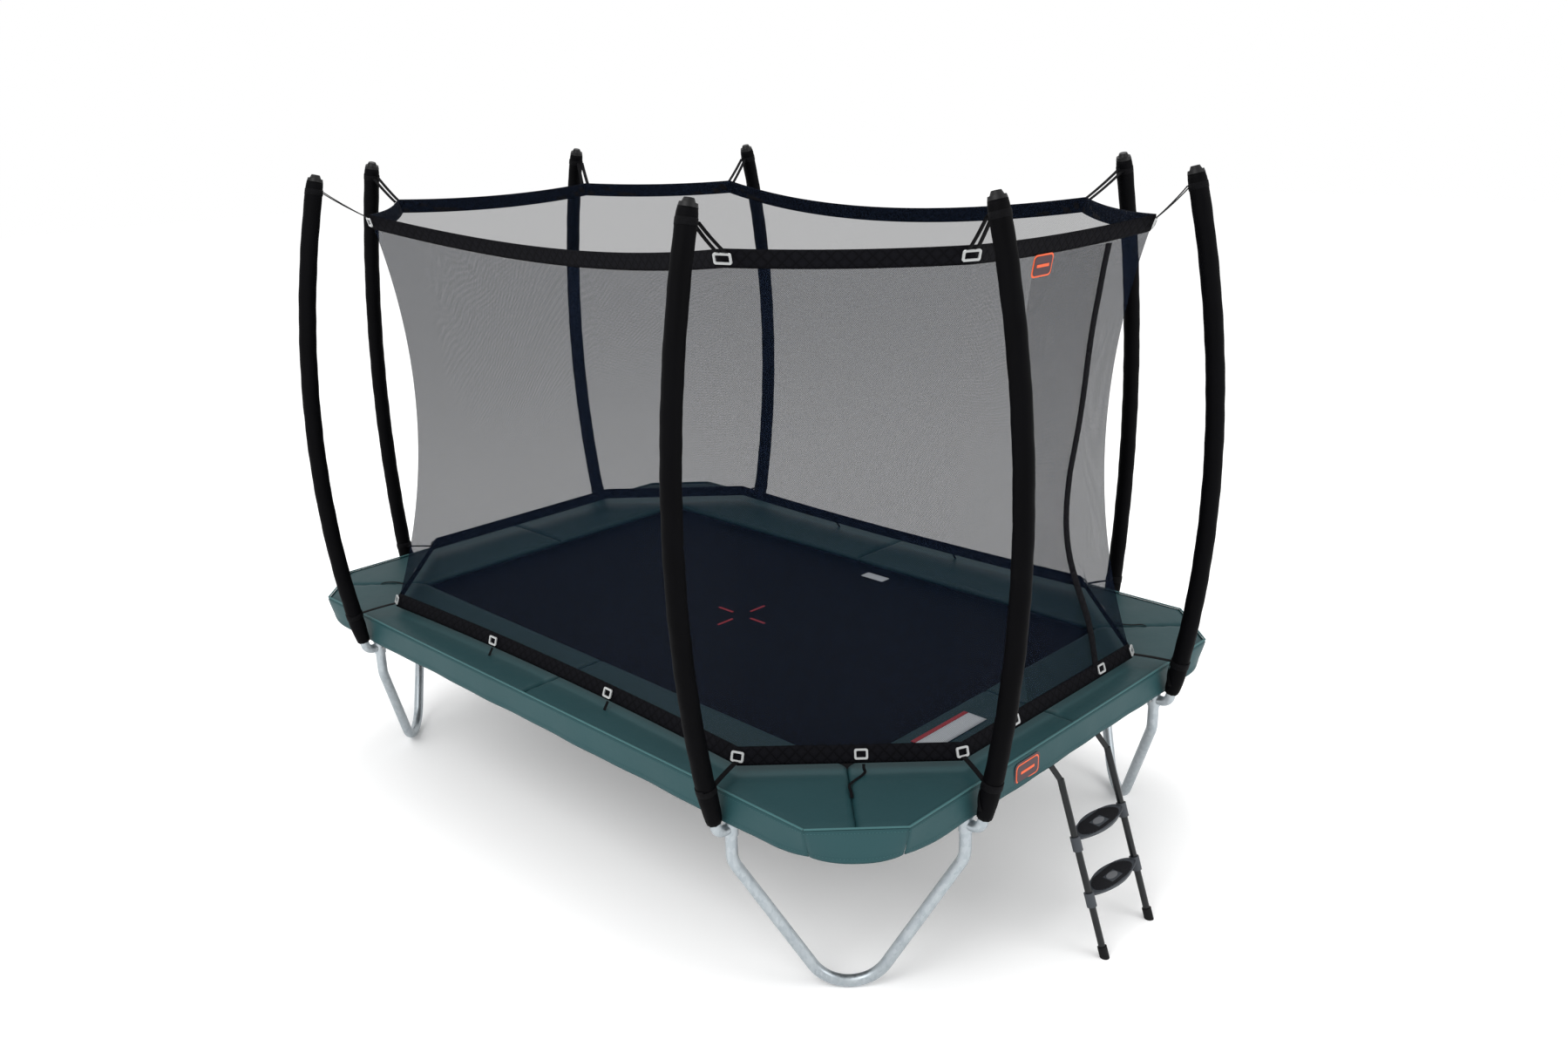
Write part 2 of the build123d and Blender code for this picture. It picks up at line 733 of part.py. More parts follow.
rail_way = Vector(-lean_slope, 0, 1).normalized()
for name, y in zip(("ladder_rail_front", "ladder_rail_back"), rail_places):
    with BuildPart() as ladder_rail:
        with BuildSketch(Plane(origin=(rail_out(rubber_wall), y, rubber_wall), z_dir=rail_way)):
            Circle(ladder_rail_radius)
            Circle(ladder_rail_radius - ladder_rail_wall, mode=Mode.SUBTRACT)
        extrude(amount=(ladder_rail_top - rubber_wall) / rail_way.Z)
        with BuildSketch(Plane(origin=(0, y + hook_width / 2, 0), x_dir=(1, 0, 0), z_dir=(0, -1, 0))):
            with BuildLine() as hook_line:
                Line((rail_out(ladder_rail_top - hook_thickness), ladder_rail_top - hook_thickness),
                     (frame_half_length + hook_middle, hook_low))
                Line((frame_half_length + hook_middle, hook_low), (frame_half_length + hook_middle, frame_level))
                ThreePointArc(
                    (frame_half_length + hook_middle, frame_level),
                    (frame_half_length, frame_level + hook_middle),
                    (frame_half_length - hook_middle, frame_level),
                )
            trace(hook_line.line, line_width=hook_thickness)
        extrude(amount=hook_width)
    save(ladder_rail, name)

# Ladder steps: a lens-shaped tread with a collar round each rail
for name, level in step_levels.items():
    middle_x = rail_out(level)
    with BuildPart() as step:
        with BuildSketch(Plane(origin=(middle_x, ladder_middle, level))):
            with BuildLine():
                ThreePointArc((0, -ladder_half_width), (step_front, 0), (0, ladder_half_width))
                ThreePointArc((0, ladder_half_width), (-step_back, 0), (0, -ladder_half_width))
            make_face()
        extrude(amount=step_thickness)
        for y in rail_places:
            start = Vector(rail_out(level), y, level) - rail_way * step_collar_below
            with BuildSketch(Plane(origin=start, z_dir=rail_way)):
                Circle(step_collar_radius)
            extrude(amount=step_collar_height)
        for y in rail_places:
            start = Vector(rail_out(level), y, level) - rail_way * step_collar_height
            with BuildSketch(Plane(origin=start, z_dir=rail_way)):
                Circle(ladder_rail_radius + ladder_fit)
            extrude(amount=2 * step_collar_height, mode=Mode.SUBTRACT)
    save(step, name)

# Ladder feet: rubber cups on the rails' lower ends, flat on the floor
with BuildPart() as ladder_feet:
    for y in rail_places:
        with BuildSketch(Plane(origin=Vector(rail_out(0), y, 0) - rail_way * rubber_radius, z_dir=rail_way)):
            Circle(rubber_radius)
        extrude(amount=rubber_height)
        with BuildSketch(Plane(origin=(rail_out(rubber_wall), y, rubber_wall) , z_dir=rail_way)):
            Circle(ladder_rail_radius + ladder_fit)
        extrude(amount=rubber_height, mode=Mode.SUBTRACT)
    split(bisect_by=Plane.XY)
save(ladder_feet, "ladder_feet")


# Buckles lie flat on the bands, at the net's corners and along the lower band.
ring_stops = [stop for stops in ring_sides.values() for stop in stops[:-1]]
net_corners = []
for place, outward, inward in stands:
    nearest = min(ring_stops, key=lambda stop: (stop[0].origin - place).length)
    net_corners.append(ring_stops.index(nearest))


def facing(first, second, level):
    """The way a band faces between two stations."""
    along = net_point(second, level, band_outer) - net_point(first, level, band_outer)
    rise = net_point(first, level + band_height / 4, 0) - net_point(first, level - band_height / 4, 0)
    return along.cross(rise).normalized()


def corner_plane(index, level):
    stop = ring_stops[index]
    before = facing(ring_stops[index - 1], stop, level)
    after = facing(stop, ring_stops[(index + 1) % len(ring_stops)], level)
    out = (before + after).normalized()
    across = Vector(0, 0, 1).cross(out).normalized()
    return Plane(origin=net_point(stop, level, band_outer) + out * buckle_corner_gap, x_dir=across, z_dir=out)


def edge_plane(index, share, level, gap):
    """On a band, at a share of the way from one station to the next."""
    first, second = ring_stops[index], ring_stops[(index + 1) % len(ring_stops)]
    out = facing(first, second, level)
    place = net_point(first, level, band_outer) * (1 - share) + net_point(second, level, band_outer) * share
    across = Vector(0, 0, 1).cross(out).normalized()
    return Plane(origin=place + out * gap, x_dir=across, z_dir=out)


def buckle(width):
    with BuildPart() as frame:
        with BuildSketch():
            RectangleRounded(width, buckle_height, buckle_rim)
            RectangleRounded(
                width - 2 * buckle_rim, buckle_height - 2 * buckle_rim, buckle_rim / 2, mode=Mode.SUBTRACT
            )
        extrude(amount=buckle_thickness)
    return frame.part


low_buckle_level = net_low + band_height / 2
low_corner_planes = [corner_plane(index, low_buckle_level) for index in net_corners]
high_corner_planes = [corner_plane(index, net_high - band_height / 2) for index in net_corners]
low_edge_planes = []
side_middles = [stop[0].origin.X == 0 for stop in ring_stops]
long_share = band_buckle_offset / net_low_long[0]
for index in range(len(ring_stops)):
    if side_middles[index]:
        low_edge_planes.append(edge_plane(index, long_share, low_buckle_level, buckle_edge_gap))
    elif side_middles[(index + 1) % len(ring_stops)]:
        low_edge_planes.append(edge_plane(index, 1 - long_share, low_buckle_level, buckle_edge_gap))
    elif index not in net_corners:
        low_edge_planes.append(edge_plane(index, edge_buckle_share, low_buckle_level, buckle_corner_gap))
with BuildPart() as top_buckles:
    with Locations(*high_corner_planes):
        add(buckle(high_buckle_width))
save(top_buckles, "top_buckles")
with BuildPart() as bottom_buckles:
    with Locations(*low_corner_planes, *low_edge_planes):
        add(buckle(buckle_width))
save(bottom_buckles, "bottom_buckles")


# Straps: doubled from each upper buckle to its pole's top, and single from each lower buckle
# to its pole's foot, or down to the pad
def strap(start, end, flat, face=None):
    """A straight flat strap between two points, its width along flat, its start clear of a face."""
    way = (end - start).normalized()
    across = (flat - way * flat.dot(way)).normalized()
    if face:
        turned = way.cross(across)
        start += face * (abs(across.dot(face)) * strap_width + abs(turned.dot(face)) * strap_thickness) / 2
        way = (end - start).normalized()
    with BuildPart() as webbing:
        with BuildSketch(Plane(origin=start, x_dir=across - way * across.dot(way), z_dir=way)):
            Rectangle(strap_width, strap_thickness)
        extrude(amount=(end - start).length)
    return webbing.part


rim_middle = (buckle_height - buckle_rim) / 2
with BuildPart() as top_straps:
    for buckle_plane, stand, pole_plane in zip(high_corner_planes, stands, pole_planes):
        way_round = 1 if buckle_plane.x_dir.dot(stand[2]) > 0 else -1
        end = pole_plane.from_local_coords(Vector(*top_point) - Vector(sleeve_radius + strap_end_gap, 0))
        for shift in (-strap_pitch / 2, strap_pitch / 2):
            spot = Vector(way_round * shift, rim_middle, buckle_thickness + strap_gap)
            start = buckle_plane.from_local_coords(spot)
            add(strap(start, end + stand[2] * shift, stand[2], buckle_plane.z_dir))
save(top_straps, "top_straps")
with BuildPart() as bottom_straps:
    for buckle_plane, stand, pole_plane in zip(low_corner_planes, stands, pole_planes):
        start = buckle_plane.from_local_coords(Vector(0, -rim_middle, buckle_thickness + strap_gap))
        height = strap_pole_level - collar_level
        end = pole_plane.from_local_coords(Vector(pole_out(height) - sleeve_radius - strap_end_gap, height))
        add(strap(start, end, stand[2], buckle_plane.z_dir))
    for buckle_plane in low_edge_planes:
        down = -buckle_plane.y_dir
        start = buckle_plane.from_local_coords(Vector(0, -buckle_height / 2 - strap_gap, buckle_thickness / 2))
        drop = start.Z - pad_low - pad_thickness - strap_gap
        add(strap(start, start + down * (drop / -down.Z), buckle_plane.x_dir))
save(bottom_straps, "bottom_straps")
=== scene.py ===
import bpy, bmesh, math
from mathutils import Matrix, Vector, noise


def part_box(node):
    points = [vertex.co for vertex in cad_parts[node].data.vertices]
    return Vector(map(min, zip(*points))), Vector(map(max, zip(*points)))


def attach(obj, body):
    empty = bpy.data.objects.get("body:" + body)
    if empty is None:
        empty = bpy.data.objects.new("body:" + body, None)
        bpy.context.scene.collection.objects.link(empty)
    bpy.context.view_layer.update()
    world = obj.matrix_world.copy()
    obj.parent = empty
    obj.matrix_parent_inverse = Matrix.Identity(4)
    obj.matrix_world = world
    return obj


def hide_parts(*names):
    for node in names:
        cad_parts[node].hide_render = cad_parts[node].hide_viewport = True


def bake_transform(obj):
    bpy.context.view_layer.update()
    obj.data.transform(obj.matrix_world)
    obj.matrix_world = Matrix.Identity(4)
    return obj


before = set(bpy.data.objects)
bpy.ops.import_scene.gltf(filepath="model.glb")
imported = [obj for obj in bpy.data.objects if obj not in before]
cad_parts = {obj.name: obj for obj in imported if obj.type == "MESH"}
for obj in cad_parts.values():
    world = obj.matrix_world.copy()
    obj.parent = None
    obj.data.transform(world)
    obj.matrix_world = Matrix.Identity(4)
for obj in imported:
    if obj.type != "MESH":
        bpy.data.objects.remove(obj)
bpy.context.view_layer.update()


# shader maths written as plain expressions
class Num:
    def __init__(self, finish, socket):
        self.finish, self.socket = finish, socket

    def math(self, operation, *others):
        node = self.finish.node("Math", {"operation": operation}, dict(enumerate((self,) + others)))
        return node[0]

    def __add__(self, other): return self.math("ADD", other)
    def __radd__(self, other): return self.math("ADD", other)
    def __sub__(self, other): return self.math("SUBTRACT", other)
    def __mul__(self, other): return self.math("MULTIPLY", other)
    def __rmul__(self, other): return self.math("MULTIPLY", other)
    def __rsub__(self, other): return (self * -1).math("ADD", other)
    def __truediv__(self, other): return self.math("DIVIDE", other)
    def __pow__(self, other): return self.math("POWER", other)
    def sin(self): return self.math("SINE")
    def abs(self): return self.math("ABSOLUTE")


class Outs:
    def __init__(self, finish, node):
        self.finish, self.node = finish, node

    def __getitem__(self, key):
        return Num(self.finish, self.node.outputs[key])


class Finish:
    # A material with one Principled shader; constants go straight onto its sockets.
    def __init__(self, name, **constants):
        self.material = bpy.data.materials.new(name)
        self.material.use_nodes = True
        self.tree = self.material.node_tree
        self.shader = self.tree.nodes["Principled BSDF"]
        for key, value in constants.items():
            self.put(key, value)

    def put(self, key, value):
        socket = self.shader.inputs[key.replace("_", " ")]
        if isinstance(value, Num):
            self.tree.links.new(value.socket, socket)
        else:
            socket.default_value = value

    def node(self, kind, settings=None, values=None):
        made = self.tree.nodes.new("ShaderNode" + kind)
        for key, value in (settings or {}).items():
            if key == "stops":
                elements = made.color_ramp.elements
                while len(elements) < len(value):
                    elements.new(0.5)
                for element, (place, colour) in zip(elements, value):
                    element.position, element.color = place, colour
            else:
                setattr(made, key, value)
        for key, value in (values or {}).items():
            if isinstance(value, Num):
                self.tree.links.new(value.socket, made.inputs[key])
            else:
                made.inputs[key].default_value = value
        return Outs(self, made)

    def place(self, stretch=(1, 1, 1), uv=False):
        coords = self.node("TexCoord")["UV" if uv else "Object"]
        return self.node("Mapping", None, {"Vector": coords, "Scale": stretch})[0]

    def axes(self, uv=False):
        parts = self.node("SeparateXYZ", None, {0: self.place(uv=uv)})
        return parts["X"], parts["Y"], parts["Z"]

    def noise(self, scale, detail=3, stretch=(1, 1, 1), uv=False, rough=0.5):
        return self.node("TexNoise", None, {
            "Vector": self.place(stretch, uv), "Scale": scale, "Detail": detail, "Roughness": rough})["Fac"]

    def mix(self, amount, first, second):
        return self.node("Mix", {"data_type": "RGBA"}, {0: amount, 6: first, 7: second})[2]

    def bump(self, height, strength, distance):
        self.put("Normal", self.node("Bump", None, {
            "Height": height, "Strength": strength, "Distance": distance})[0])


def rgb(red, green, blue):
    return (red, green, blue, 1)


def galvanised(name, light, dark, roughness):
    f = Finish(name, Metallic=0.9)
    spangle = f.node("TexVoronoi", {"feature": "F1"},
            {"Vector": f.place((1, 1, 0.6)), "Scale": 90.0})["Color"]
    grain = f.node("SeparateColor", None, {0: spangle})[0]
    streak = f.noise(9, 5, (3, 3, 0.5))
    f.put("Base_Color", f.mix(grain * 0.35 + streak * 0.6, dark, light))
    f.put("Roughness", roughness + grain * 0.12 + streak * 0.1)
    f.bump(streak + f.noise(260, 2) * 0.3, 0.12, 0.001)
    return f.material


def vinyl(name, light, dark):
    f = Finish(name, Specular_IOR_Level=0.2)
    cloud = f.noise(2.2, 4)
    f.put("Base_Color", f.mix(cloud, dark, light))
    x, y, z = f.axes()
    weave = (x * 2600).sin() * (y * 2600).sin() + (z * 2600).sin() * 0.5
    creases = f.noise(7, 5, (1, 1, 1), rough=0.62)
    f.put("Roughness", 0.42 + cloud * 0.1 + creases * 0.08)
    f.bump(creases * 0.9 + weave * 0.02, 0.32, 0.006)
    return f.material


def meshCloth(name, tint, thin, thick):
    f = Finish(name, Roughness=0.85, Specular_IOR_Level=0.02)
    u, v, w = f.axes(uv=True)
    thread = ((u + v) * 560).sin() * ((u - v) * 560).sin()
    knot = thread.abs()
    f.put("Base_Color", f.mix(f.noise(40, 2, uv=True), tint, rgb(0.005, 0.009, 0.019)))
    f.put("Alpha", thin + (1 - knot) ** 2.0 * (thick - thin))
    return f.material


def quilted(name, colour):
    f = Finish(name, Roughness=0.75, Specular_IOR_Level=0.05)
    u, v, w = f.axes(uv=True)
    pitch = 2 * math.pi / 0.042
    diamond = ((u + v) * pitch * 0.5).sin().abs().math("MINIMUM", ((u - v) * pitch * 0.5).sin().abs())
    puffAndGrooveShade = diamond.math("POWER", 0.35)
    # the colour follows the bump's puff mask and darkens towards the quilting grooves: painted shade in the
    # grooves
    f.put("Base_Color", f.mix(puffAndGrooveShade, rgb(0.0008, 0.0008, 0.0012), colour))
    f.bump(puffAndGrooveShade + f.noise(900, 1, uv=True) * 0.15, 0.7, 0.003)
    return f.material


def webbing(name, colour):
    f = Finish(name, Roughness=0.66, Specular_IOR_Level=0.06)
    u, v, w = f.axes(uv=True)
    ribs = (v * 2400).sin() * 0.6 + (u * 3800).sin() * 0.4
    f.put("Base_Color", f.mix(f.noise(60, 3), rgb(0.001, 0.001, 0.0014), colour))
    f.bump(ribs, 0.4, 0.0008)
    return f.material


def foamSleeve(name):
    f = Finish(name, Specular_IOR_Level=0.04)
    u, v, w = f.axes(uv=True)
    weave = (u * 1500).sin() * (v * 1500).sin()
    crease = f.noise(14, 4, (1, 1, 0.35))
    # the colour follows the bump's crease pattern and goes darker in its folds: painted shade in the folds
    f.put("Base_Color", f.mix(crease, rgb(0.0004, 0.0004, 0.0006), rgb(0.0022, 0.0022, 0.0030)))
    f.put("Roughness", 0.52 + crease * 0.2)
    f.bump(crease + weave * 0.1, 0.3, 0.003)
    return f.material


def wovenMat(name):
    f = Finish(name, Specular_IOR_Level=0.04)
    x, y, z = f.axes()
    warp = (x * 1050).sin() * (y * 1050).sin()
    slub = f.noise(220, 3, (1, 0.15, 1)) + f.noise(220, 3, (0.15, 1, 1))
    f.put("Base_Color", f.mix(slub * 0.5, rgb(0.0007, 0.0007, 0.0012), rgb(0.0030, 0.0030, 0.0046)))
    f.put("Roughness", 0.5 + slub * 0.1)
    f.bump(warp + slub * 0.6, 0.35, 0.001)
    return f.material


def plastic(name, colour, dark, roughness, bumpiness=0.15, **more):
    f = Finish(name, **more)
    speck = f.noise(420, 3)
    wear = f.noise(9, 4)
    f.put("Base_Color", f.mix(wear * 0.6, dark, colour))
    f.put("Roughness", roughness + wear * 0.1)
    f.bump(speck, bumpiness, 0.0008)
    return f.material


steelLegs = galvanised("galvanisedLegs", rgb(0.52, 0.56, 0.58), rgb(0.27, 0.31, 0.34), 0.3)
# the frame rail takes the same galvanised steel as the legs, made darker: painted shade from the pads above
# it
steelFrameShaded = galvanised("galvanisedFrameShaded", rgb(0.38, 0.42, 0.44), rgb(0.18, 0.21, 0.23), 0.38)
zinc = galvanised("zincWire", rgb(0.56, 0.57, 0.58), rgb(0.30, 0.31, 0.32), 0.28)
padTopVinyl = vinyl("padVinyl", rgb(0.0095, 0.044, 0.050), rgb(0.0065, 0.032, 0.037))
skirtVinyl = vinyl("skirtVinyl", rgb(0.019, 0.066, 0.073), rgb(0.013, 0.051, 0.057))
weltVinyl = vinyl("weltVinyl", rgb(0.050, 0.135, 0.140), rgb(0.032, 0.092, 0.097))
netCloth = meshCloth("netCloth", rgb(0.003, 0.005, 0.010), 0.40, 0.80)
flapCloth = meshCloth("flapCloth", rgb(0.0025, 0.004, 0.009), 0.16, 0.42)
bandCloth = quilted("bandCloth", rgb(0.0042, 0.0042, 0.0058))
strapCloth = webbing("strapCloth", rgb(0.0040, 0.0040, 0.0050))
threadBlack = webbing("stitchThread", rgb(0.008, 0.008, 0.010))
sleeveCloth = foamSleeve("sleeveCloth")
matCloth = wovenMat("matCloth")
blackPaint = plastic("blackPaint", rgb(0.0040, 0.0060, 0.0075), rgb(0.0020, 0.0030, 0.0040), 0.26, 0.08,
        Specular_IOR_Level=0.35)
capPlastic = plastic("capPlastic", rgb(0.0030, 0.0030, 0.0036), rgb(0.0015, 0.0015, 0.0020), 0.42,
        Specular_IOR_Level=0.25)
stepPlastic = plastic("stepPlastic", rgb(0.060, 0.068, 0.078), rgb(0.036, 0.041, 0.049), 0.5,
        Specular_IOR_Level=0.3)
treadPlastic = plastic("treadPlastic", rgb(0.014, 0.014, 0.017), rgb(0.008, 0.008, 0.010), 0.6,
        Specular_IOR_Level=0.2)
footRubber = plastic("footRubber", rgb(0.0040, 0.0040, 0.0046), rgb(0.002, 0.002, 0.0026), 0.65,
        Specular_IOR_Level=0.2)
bucklePlastic = plastic("bucklePlastic", rgb(0.52, 0.53, 0.53), rgb(0.36, 0.37, 0.37), 0.14, 0.05)
badgeDark = plastic("badgeDark", rgb(0.045, 0.008, 0.016), rgb(0.03, 0.005, 0.010), 0.4)
badgeOrange = plastic("badgeOrange", rgb(0.85, 0.12, 0.02), rgb(0.70, 0.08, 0.01), 0.4)
labelWhite = plastic("labelWhite", rgb(0.72, 0.75, 0.78), rgb(0.60, 0.64, 0.68), 0.5)
labelDull = plastic("labelDull", rgb(0.16, 0.165, 0.175), rgb(0.11, 0.115, 0.125), 0.5)
labelRed = plastic("labelRed", rgb(0.45, 0.008, 0.02), rgb(0.36, 0.005, 0.012), 0.45)
print("finishes made")


# mesh helpers
def piece(name, vertices, faces, material, smooth=True, uvs=None, body="frame", ride=True):
    mesh = bpy.data.meshes.new(name)
    mesh.from_pydata([tuple(v) for v in vertices], [], faces)
    mesh.update()
    made = bpy.data.objects.new(name, mesh)
    bpy.context.scene.collection.objects.link(made)
    mesh.materials.append(material)
    for polygon in mesh.polygons:
        polygon.use_smooth = smooth
    layer = mesh.uv_layers.new(name="cloth")
    if uvs:
        for loop in mesh.loops:
            layer.data[loop.index].uv = uvs[loop.vertex_index]
    if ride:
        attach(made, body)
    return made


def gridFaces(rows, columns, closeColumns=False, closeRows=False):
    faces = []
    for row in range(rows if closeRows else rows - 1):
        for column in range(columns if closeColumns else columns - 1):
            nextRow = (row + 1) % rows
            nextColumn = (column + 1) % columns
            faces.append((row * columns + column, row * columns + nextColumn,
                          nextRow * columns + nextColumn, nextRow * columns + column))
    return faces


def recalc(made):
    bm = bmesh.new()
    bm.from_mesh(made.data)
    bmesh.ops.remove_doubles(bm, verts=bm.verts, dist=1e-6)
    bmesh.ops.recalc_face_normals(bm, faces=bm.faces)
    bm.to_mesh(made.data)
    bm.free()
    return made


def sweepTube(path, profile, sides=None, caps=True, up=Vector((0, 0, 1))):
    # profile(share, angle) gives the radius; returns vertices, faces and uvs
    sides = sides or 24
    vertices, uvs = [], []
    length = 0
    for i, point in enumerate(path):
        ahead = path[min(i + 1, len(path) - 1)] - path[max(i - 1, 0)]
        way = ahead.normalized()
        across = way.cross(up).normalized()
        other = way.cross(across)
        if i:
            length += (point - path[i - 1]).length
        for k in range(sides):
            angle = 2 * math.pi * k / sides
            radius = profile(i / (len(path) - 1), angle)
            vertices.append(point + (across * math.cos(angle) + other * math.sin(angle)) * radius)
            uvs.append((angle * 0.0335, length))
    faces = gridFaces(len(path), sides, closeColumns=True)
    if caps:
        faces.append(tuple(range(sides)))
        last = (len(path) - 1) * sides
        faces.append(tuple(last + k for k in reversed(range(sides))))
    return vertices, faces, uvs


def smoothLine(points, steps):
    # Catmull-Rom through given points
    full = [points[0] * 2 - points[1]] + list(points) + [points[-1] * 2 - points[-2]]
    line = []
    for i in range(1, len(full) - 2):
        a, b, c, d = full[i - 1:i + 3]
        for step in range(steps):
            t = step / steps
            line.append(0.5 * (2 * b + (c - a) * t + (2 * a - 5 * b + 4 * c - d) * t * t
                               + (3 * b - a - 3 * c + d) * t * t * t))
    return line + [Vector(points[-1])]


def ribbon(line, width, thickness, flat):
    # A flat strap: flat is the way of its width, or a list of ways
    vertices, uvs, length = [], [], 0
    for i, point in enumerate(line):
        way = (line[min(i + 1, len(line) - 1)] - line[max(i - 1, 0)]).normalized()
        side = flat[i] if isinstance(flat, list) else flat
        side = (side - way * side.dot(way)).normalized()
        lift = way.cross(side).normalized()
        if i:
            length += (point - line[i - 1]).length
        edge = width / 2 - thickness / 2
        for x, y in ((-width / 2, 0), (-edge, thickness / 2), (0, thickness / 2), (edge, thickness / 2),
                     (width / 2, 0), (edge, -thickness / 2), (0, -thickness / 2), (-edge, -thickness / 2)):
            vertices.append(point + side * x + lift * y)
            uvs.append((x, length))
    faces = gridFaces(len(line), 8, closeColumns=True)
    faces.append(tuple(range(8)))
    last = (len(line) - 1) * 8
    faces.append(tuple(last + k for k in reversed(range(8))))
    return vertices, faces, uvs


def merged(parts):
    vertices, faces, uvs = [], [], []
    for partVertices, partFaces, partUvs in parts:
        start = len(vertices)
        vertices += partVertices
        faces += [tuple(start + k for k in face) for face in partFaces]
        uvs += partUvs
    return vertices, faces, uvs


def repeatAlong(name, line, shape, spacing, material, body="frame", ride=True):
    # Geometry Nodes: copies of a small shape, evenly along a line and turned to it
    curve = bpy.data.meshes.new(name + "Line")
    curve.from_pydata([tuple(p) for p in line], [(i, i + 1) for i in range(len(line) - 1)], [])
    made = bpy.data.objects.new(name, curve)
    bpy.context.scene.collection.objects.link(made)
    tree = bpy.data.node_groups.new(name + "Tree", "GeometryNodeTree")
    face = tree.interface
    face.new_socket("Geometry", in_out="INPUT", socket_type="NodeSocketGeometry")
    face.new_socket("Shape", in_out="INPUT", socket_type="NodeSocketObject")
    face.new_socket("Spacing", in_out="INPUT", socket_type="NodeSocketFloat")
    face.new_socket("Geometry", in_out="OUTPUT", socket_type="NodeSocketGeometry")
    make = tree.nodes.new
    entry, end = make("NodeGroupInput"), make("NodeGroupOutput")
    toCurve, resample = make("GeometryNodeMeshToCurve"), make("GeometryNodeResampleCurve")
    resample.mode = "LENGTH"
    tangent, align = make("GeometryNodeInputTangent"), make("FunctionNodeAlignRotationToVector")
    align.axis = "X"
    info, instance = make("GeometryNodeObjectInfo"), make("GeometryNodeInstanceOnPoints")
    realize, paint = make("GeometryNodeRealizeInstances"), make("GeometryNodeSetMaterial")
    paint.inputs["Material"].default_value = material
    link = tree.links.new
    link(entry.outputs["Geometry"], toCurve.inputs[0])
    link(toCurve.outputs[0], resample.inputs["Curve"])
    link(entry.outputs["Spacing"], resample.inputs["Length"])
    link(resample.outputs[0], instance.inputs["Points"])
    link(tangent.outputs[0], align.inputs["Vector"])
    link(align.outputs[0], instance.inputs["Rotation"])
    link(entry.outputs["Shape"], info.inputs["Object"])
    link(info.outputs["Geometry"], instance.inputs["Instance"])
    link(instance.outputs[0], realize.inputs[0])
    link(realize.outputs[0], paint.inputs["Geometry"])
    link(paint.outputs[0], end.inputs[0])
    modifier = made.modifiers.new("repeat", "NODES")
    modifier.node_group = tree
    sockets = {item.name: item.identifier for item in face.items_tree if item.in_out == "INPUT"}
    modifier[sockets["Shape"]] = shape
    modifier[sockets["Spacing"]] = spacing
    bpy.context.view_layer.update()
    plain = bpy.data.meshes.new_from_object(made.evaluated_get(bpy.context.evaluated_depsgraph_get()))
    made.modifiers.clear()
    made.data = plain
    plain.materials.clear()
    plain.materials.append(material)
    if ride:
        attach(made, body)
    return made


def stitchShape():
    # One stitch: a short six-sided bead along X
    rings = ((-0.0022, 0.0003), (-0.0015, 0.0007), (0.0015, 0.0007), (0.0022, 0.0003))
    vertices = [Vector((x, r * math.cos(k * math.pi / 2), r * math.sin(k * math.pi / 2)))
                for x, r in rings for k in range(4)]
    faces = gridFaces(4, 4, closeColumns=True) + [(3, 2, 1, 0), (12, 13, 14, 15)]
    mesh = bpy.data.meshes.new("stitch")
    mesh.from_pydata([tuple(v) for v in vertices], [], faces)
    return bpy.data.objects.new("stitch", mesh)


stitch = stitchShape()


# places read from the frame
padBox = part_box("pad_front_right")
padLow, padTop = padBox[0][2], padBox[1][2]
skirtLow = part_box("skirt_front")[0][2]
padX = -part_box("skirt_left")[0][0]
padY = -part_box("skirt_front")[0][1]
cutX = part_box("skirt_front")[1][0]
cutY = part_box("skirt_left")[1][1]
openX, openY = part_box("pad_right_back")[0][0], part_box("pad_back_right")[0][1]
railX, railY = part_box("frame_rail_right"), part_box("frame_rail_back")
tubeRadius = (railX[1][2] - railX[0][2]) / 2
frameX = (railX[0][0] + railX[1][0]) / 2
frameY = (railY[0][1] + railY[1][1]) / 2
frameZ = (railX[0][2] + railX[1][2]) / 2
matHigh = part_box("mat")[1]
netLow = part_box("net_front")[0][2]
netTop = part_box("net_front")[1][2]
quadrants = [("front", "right", 1, -1), ("front", "left", -1, -1), ("back", "right", 1, 1),
        ("back", "left", -1, 1)]



# net: one rule for the mesh, its bands, straps and stitching
def knot(low, high, bow=None, out=None, lean=None):
    if out is None:
        lean = Vector(low) - Vector(high)
        out = lean.normalized()
        lean = lean.length
    return {"low": Vector(low), "out": out, "lean": lean, "bow": bow or (0, 0, 0)}


net = {"waist": 0.138, "height": 1.69, "band": 0.06, "rows": 56,
       "longBow": (0.030, 0.095, 0.075), "shortBow": (0, 0.025, 0.018), "cornerBow": (0, 0.015, 0.010)}
corners = []
for sx, sy in ((-1, -1), (1, -1), (1, 1), (-1, 1)):
    longKnot = knot((sx * 1.081, sy * 1.070), (sx * 1.033, sy * 1.007))
    shortKnot = knot((sx * 1.618, sy * 0.548), (sx * 1.604, sy * 0.537))
    corners.append((longKnot, shortKnot))
ringKnots = [
    ("front", corners[0][0], corners[1][0], net["longBow"]),
    ("cornerFrontRight", corners[1][0], corners[1][1], net["cornerBow"]),
    ("right", corners[1][1], corners[2][1], net["shortBow"]),
    ("cornerBackRight", corners[2][1], corners[2][0], net["cornerBow"]),
    ("back", corners[2][0], corners[3][0], net["longBow"]),
    ("cornerBackLeft", corners[3][0], corners[3][1], net["cornerBow"]),
    ("left", corners[3][1], corners[0][1], net["shortBow"]),
    ("cornerFrontLeft", corners[0][1], corners[0][0], net["cornerBow"]),
]
netSides = {name: (a, b, bow) for name, a, b, bow in ringKnots}
ringOrder = [name for name, a, b, bow in ringKnots]


def knotPoint(side, end, level):
    # the net's line under one pole, at a height
    made = netSides[side][end]
    t = (level - netLow) / (netTop - netLow)
    flat = made["low"] - made["out"] * (made["lean"] * t + 4 * net["waist"] * t * (1 - t))
    return Vector((flat.x, flat.y, level))


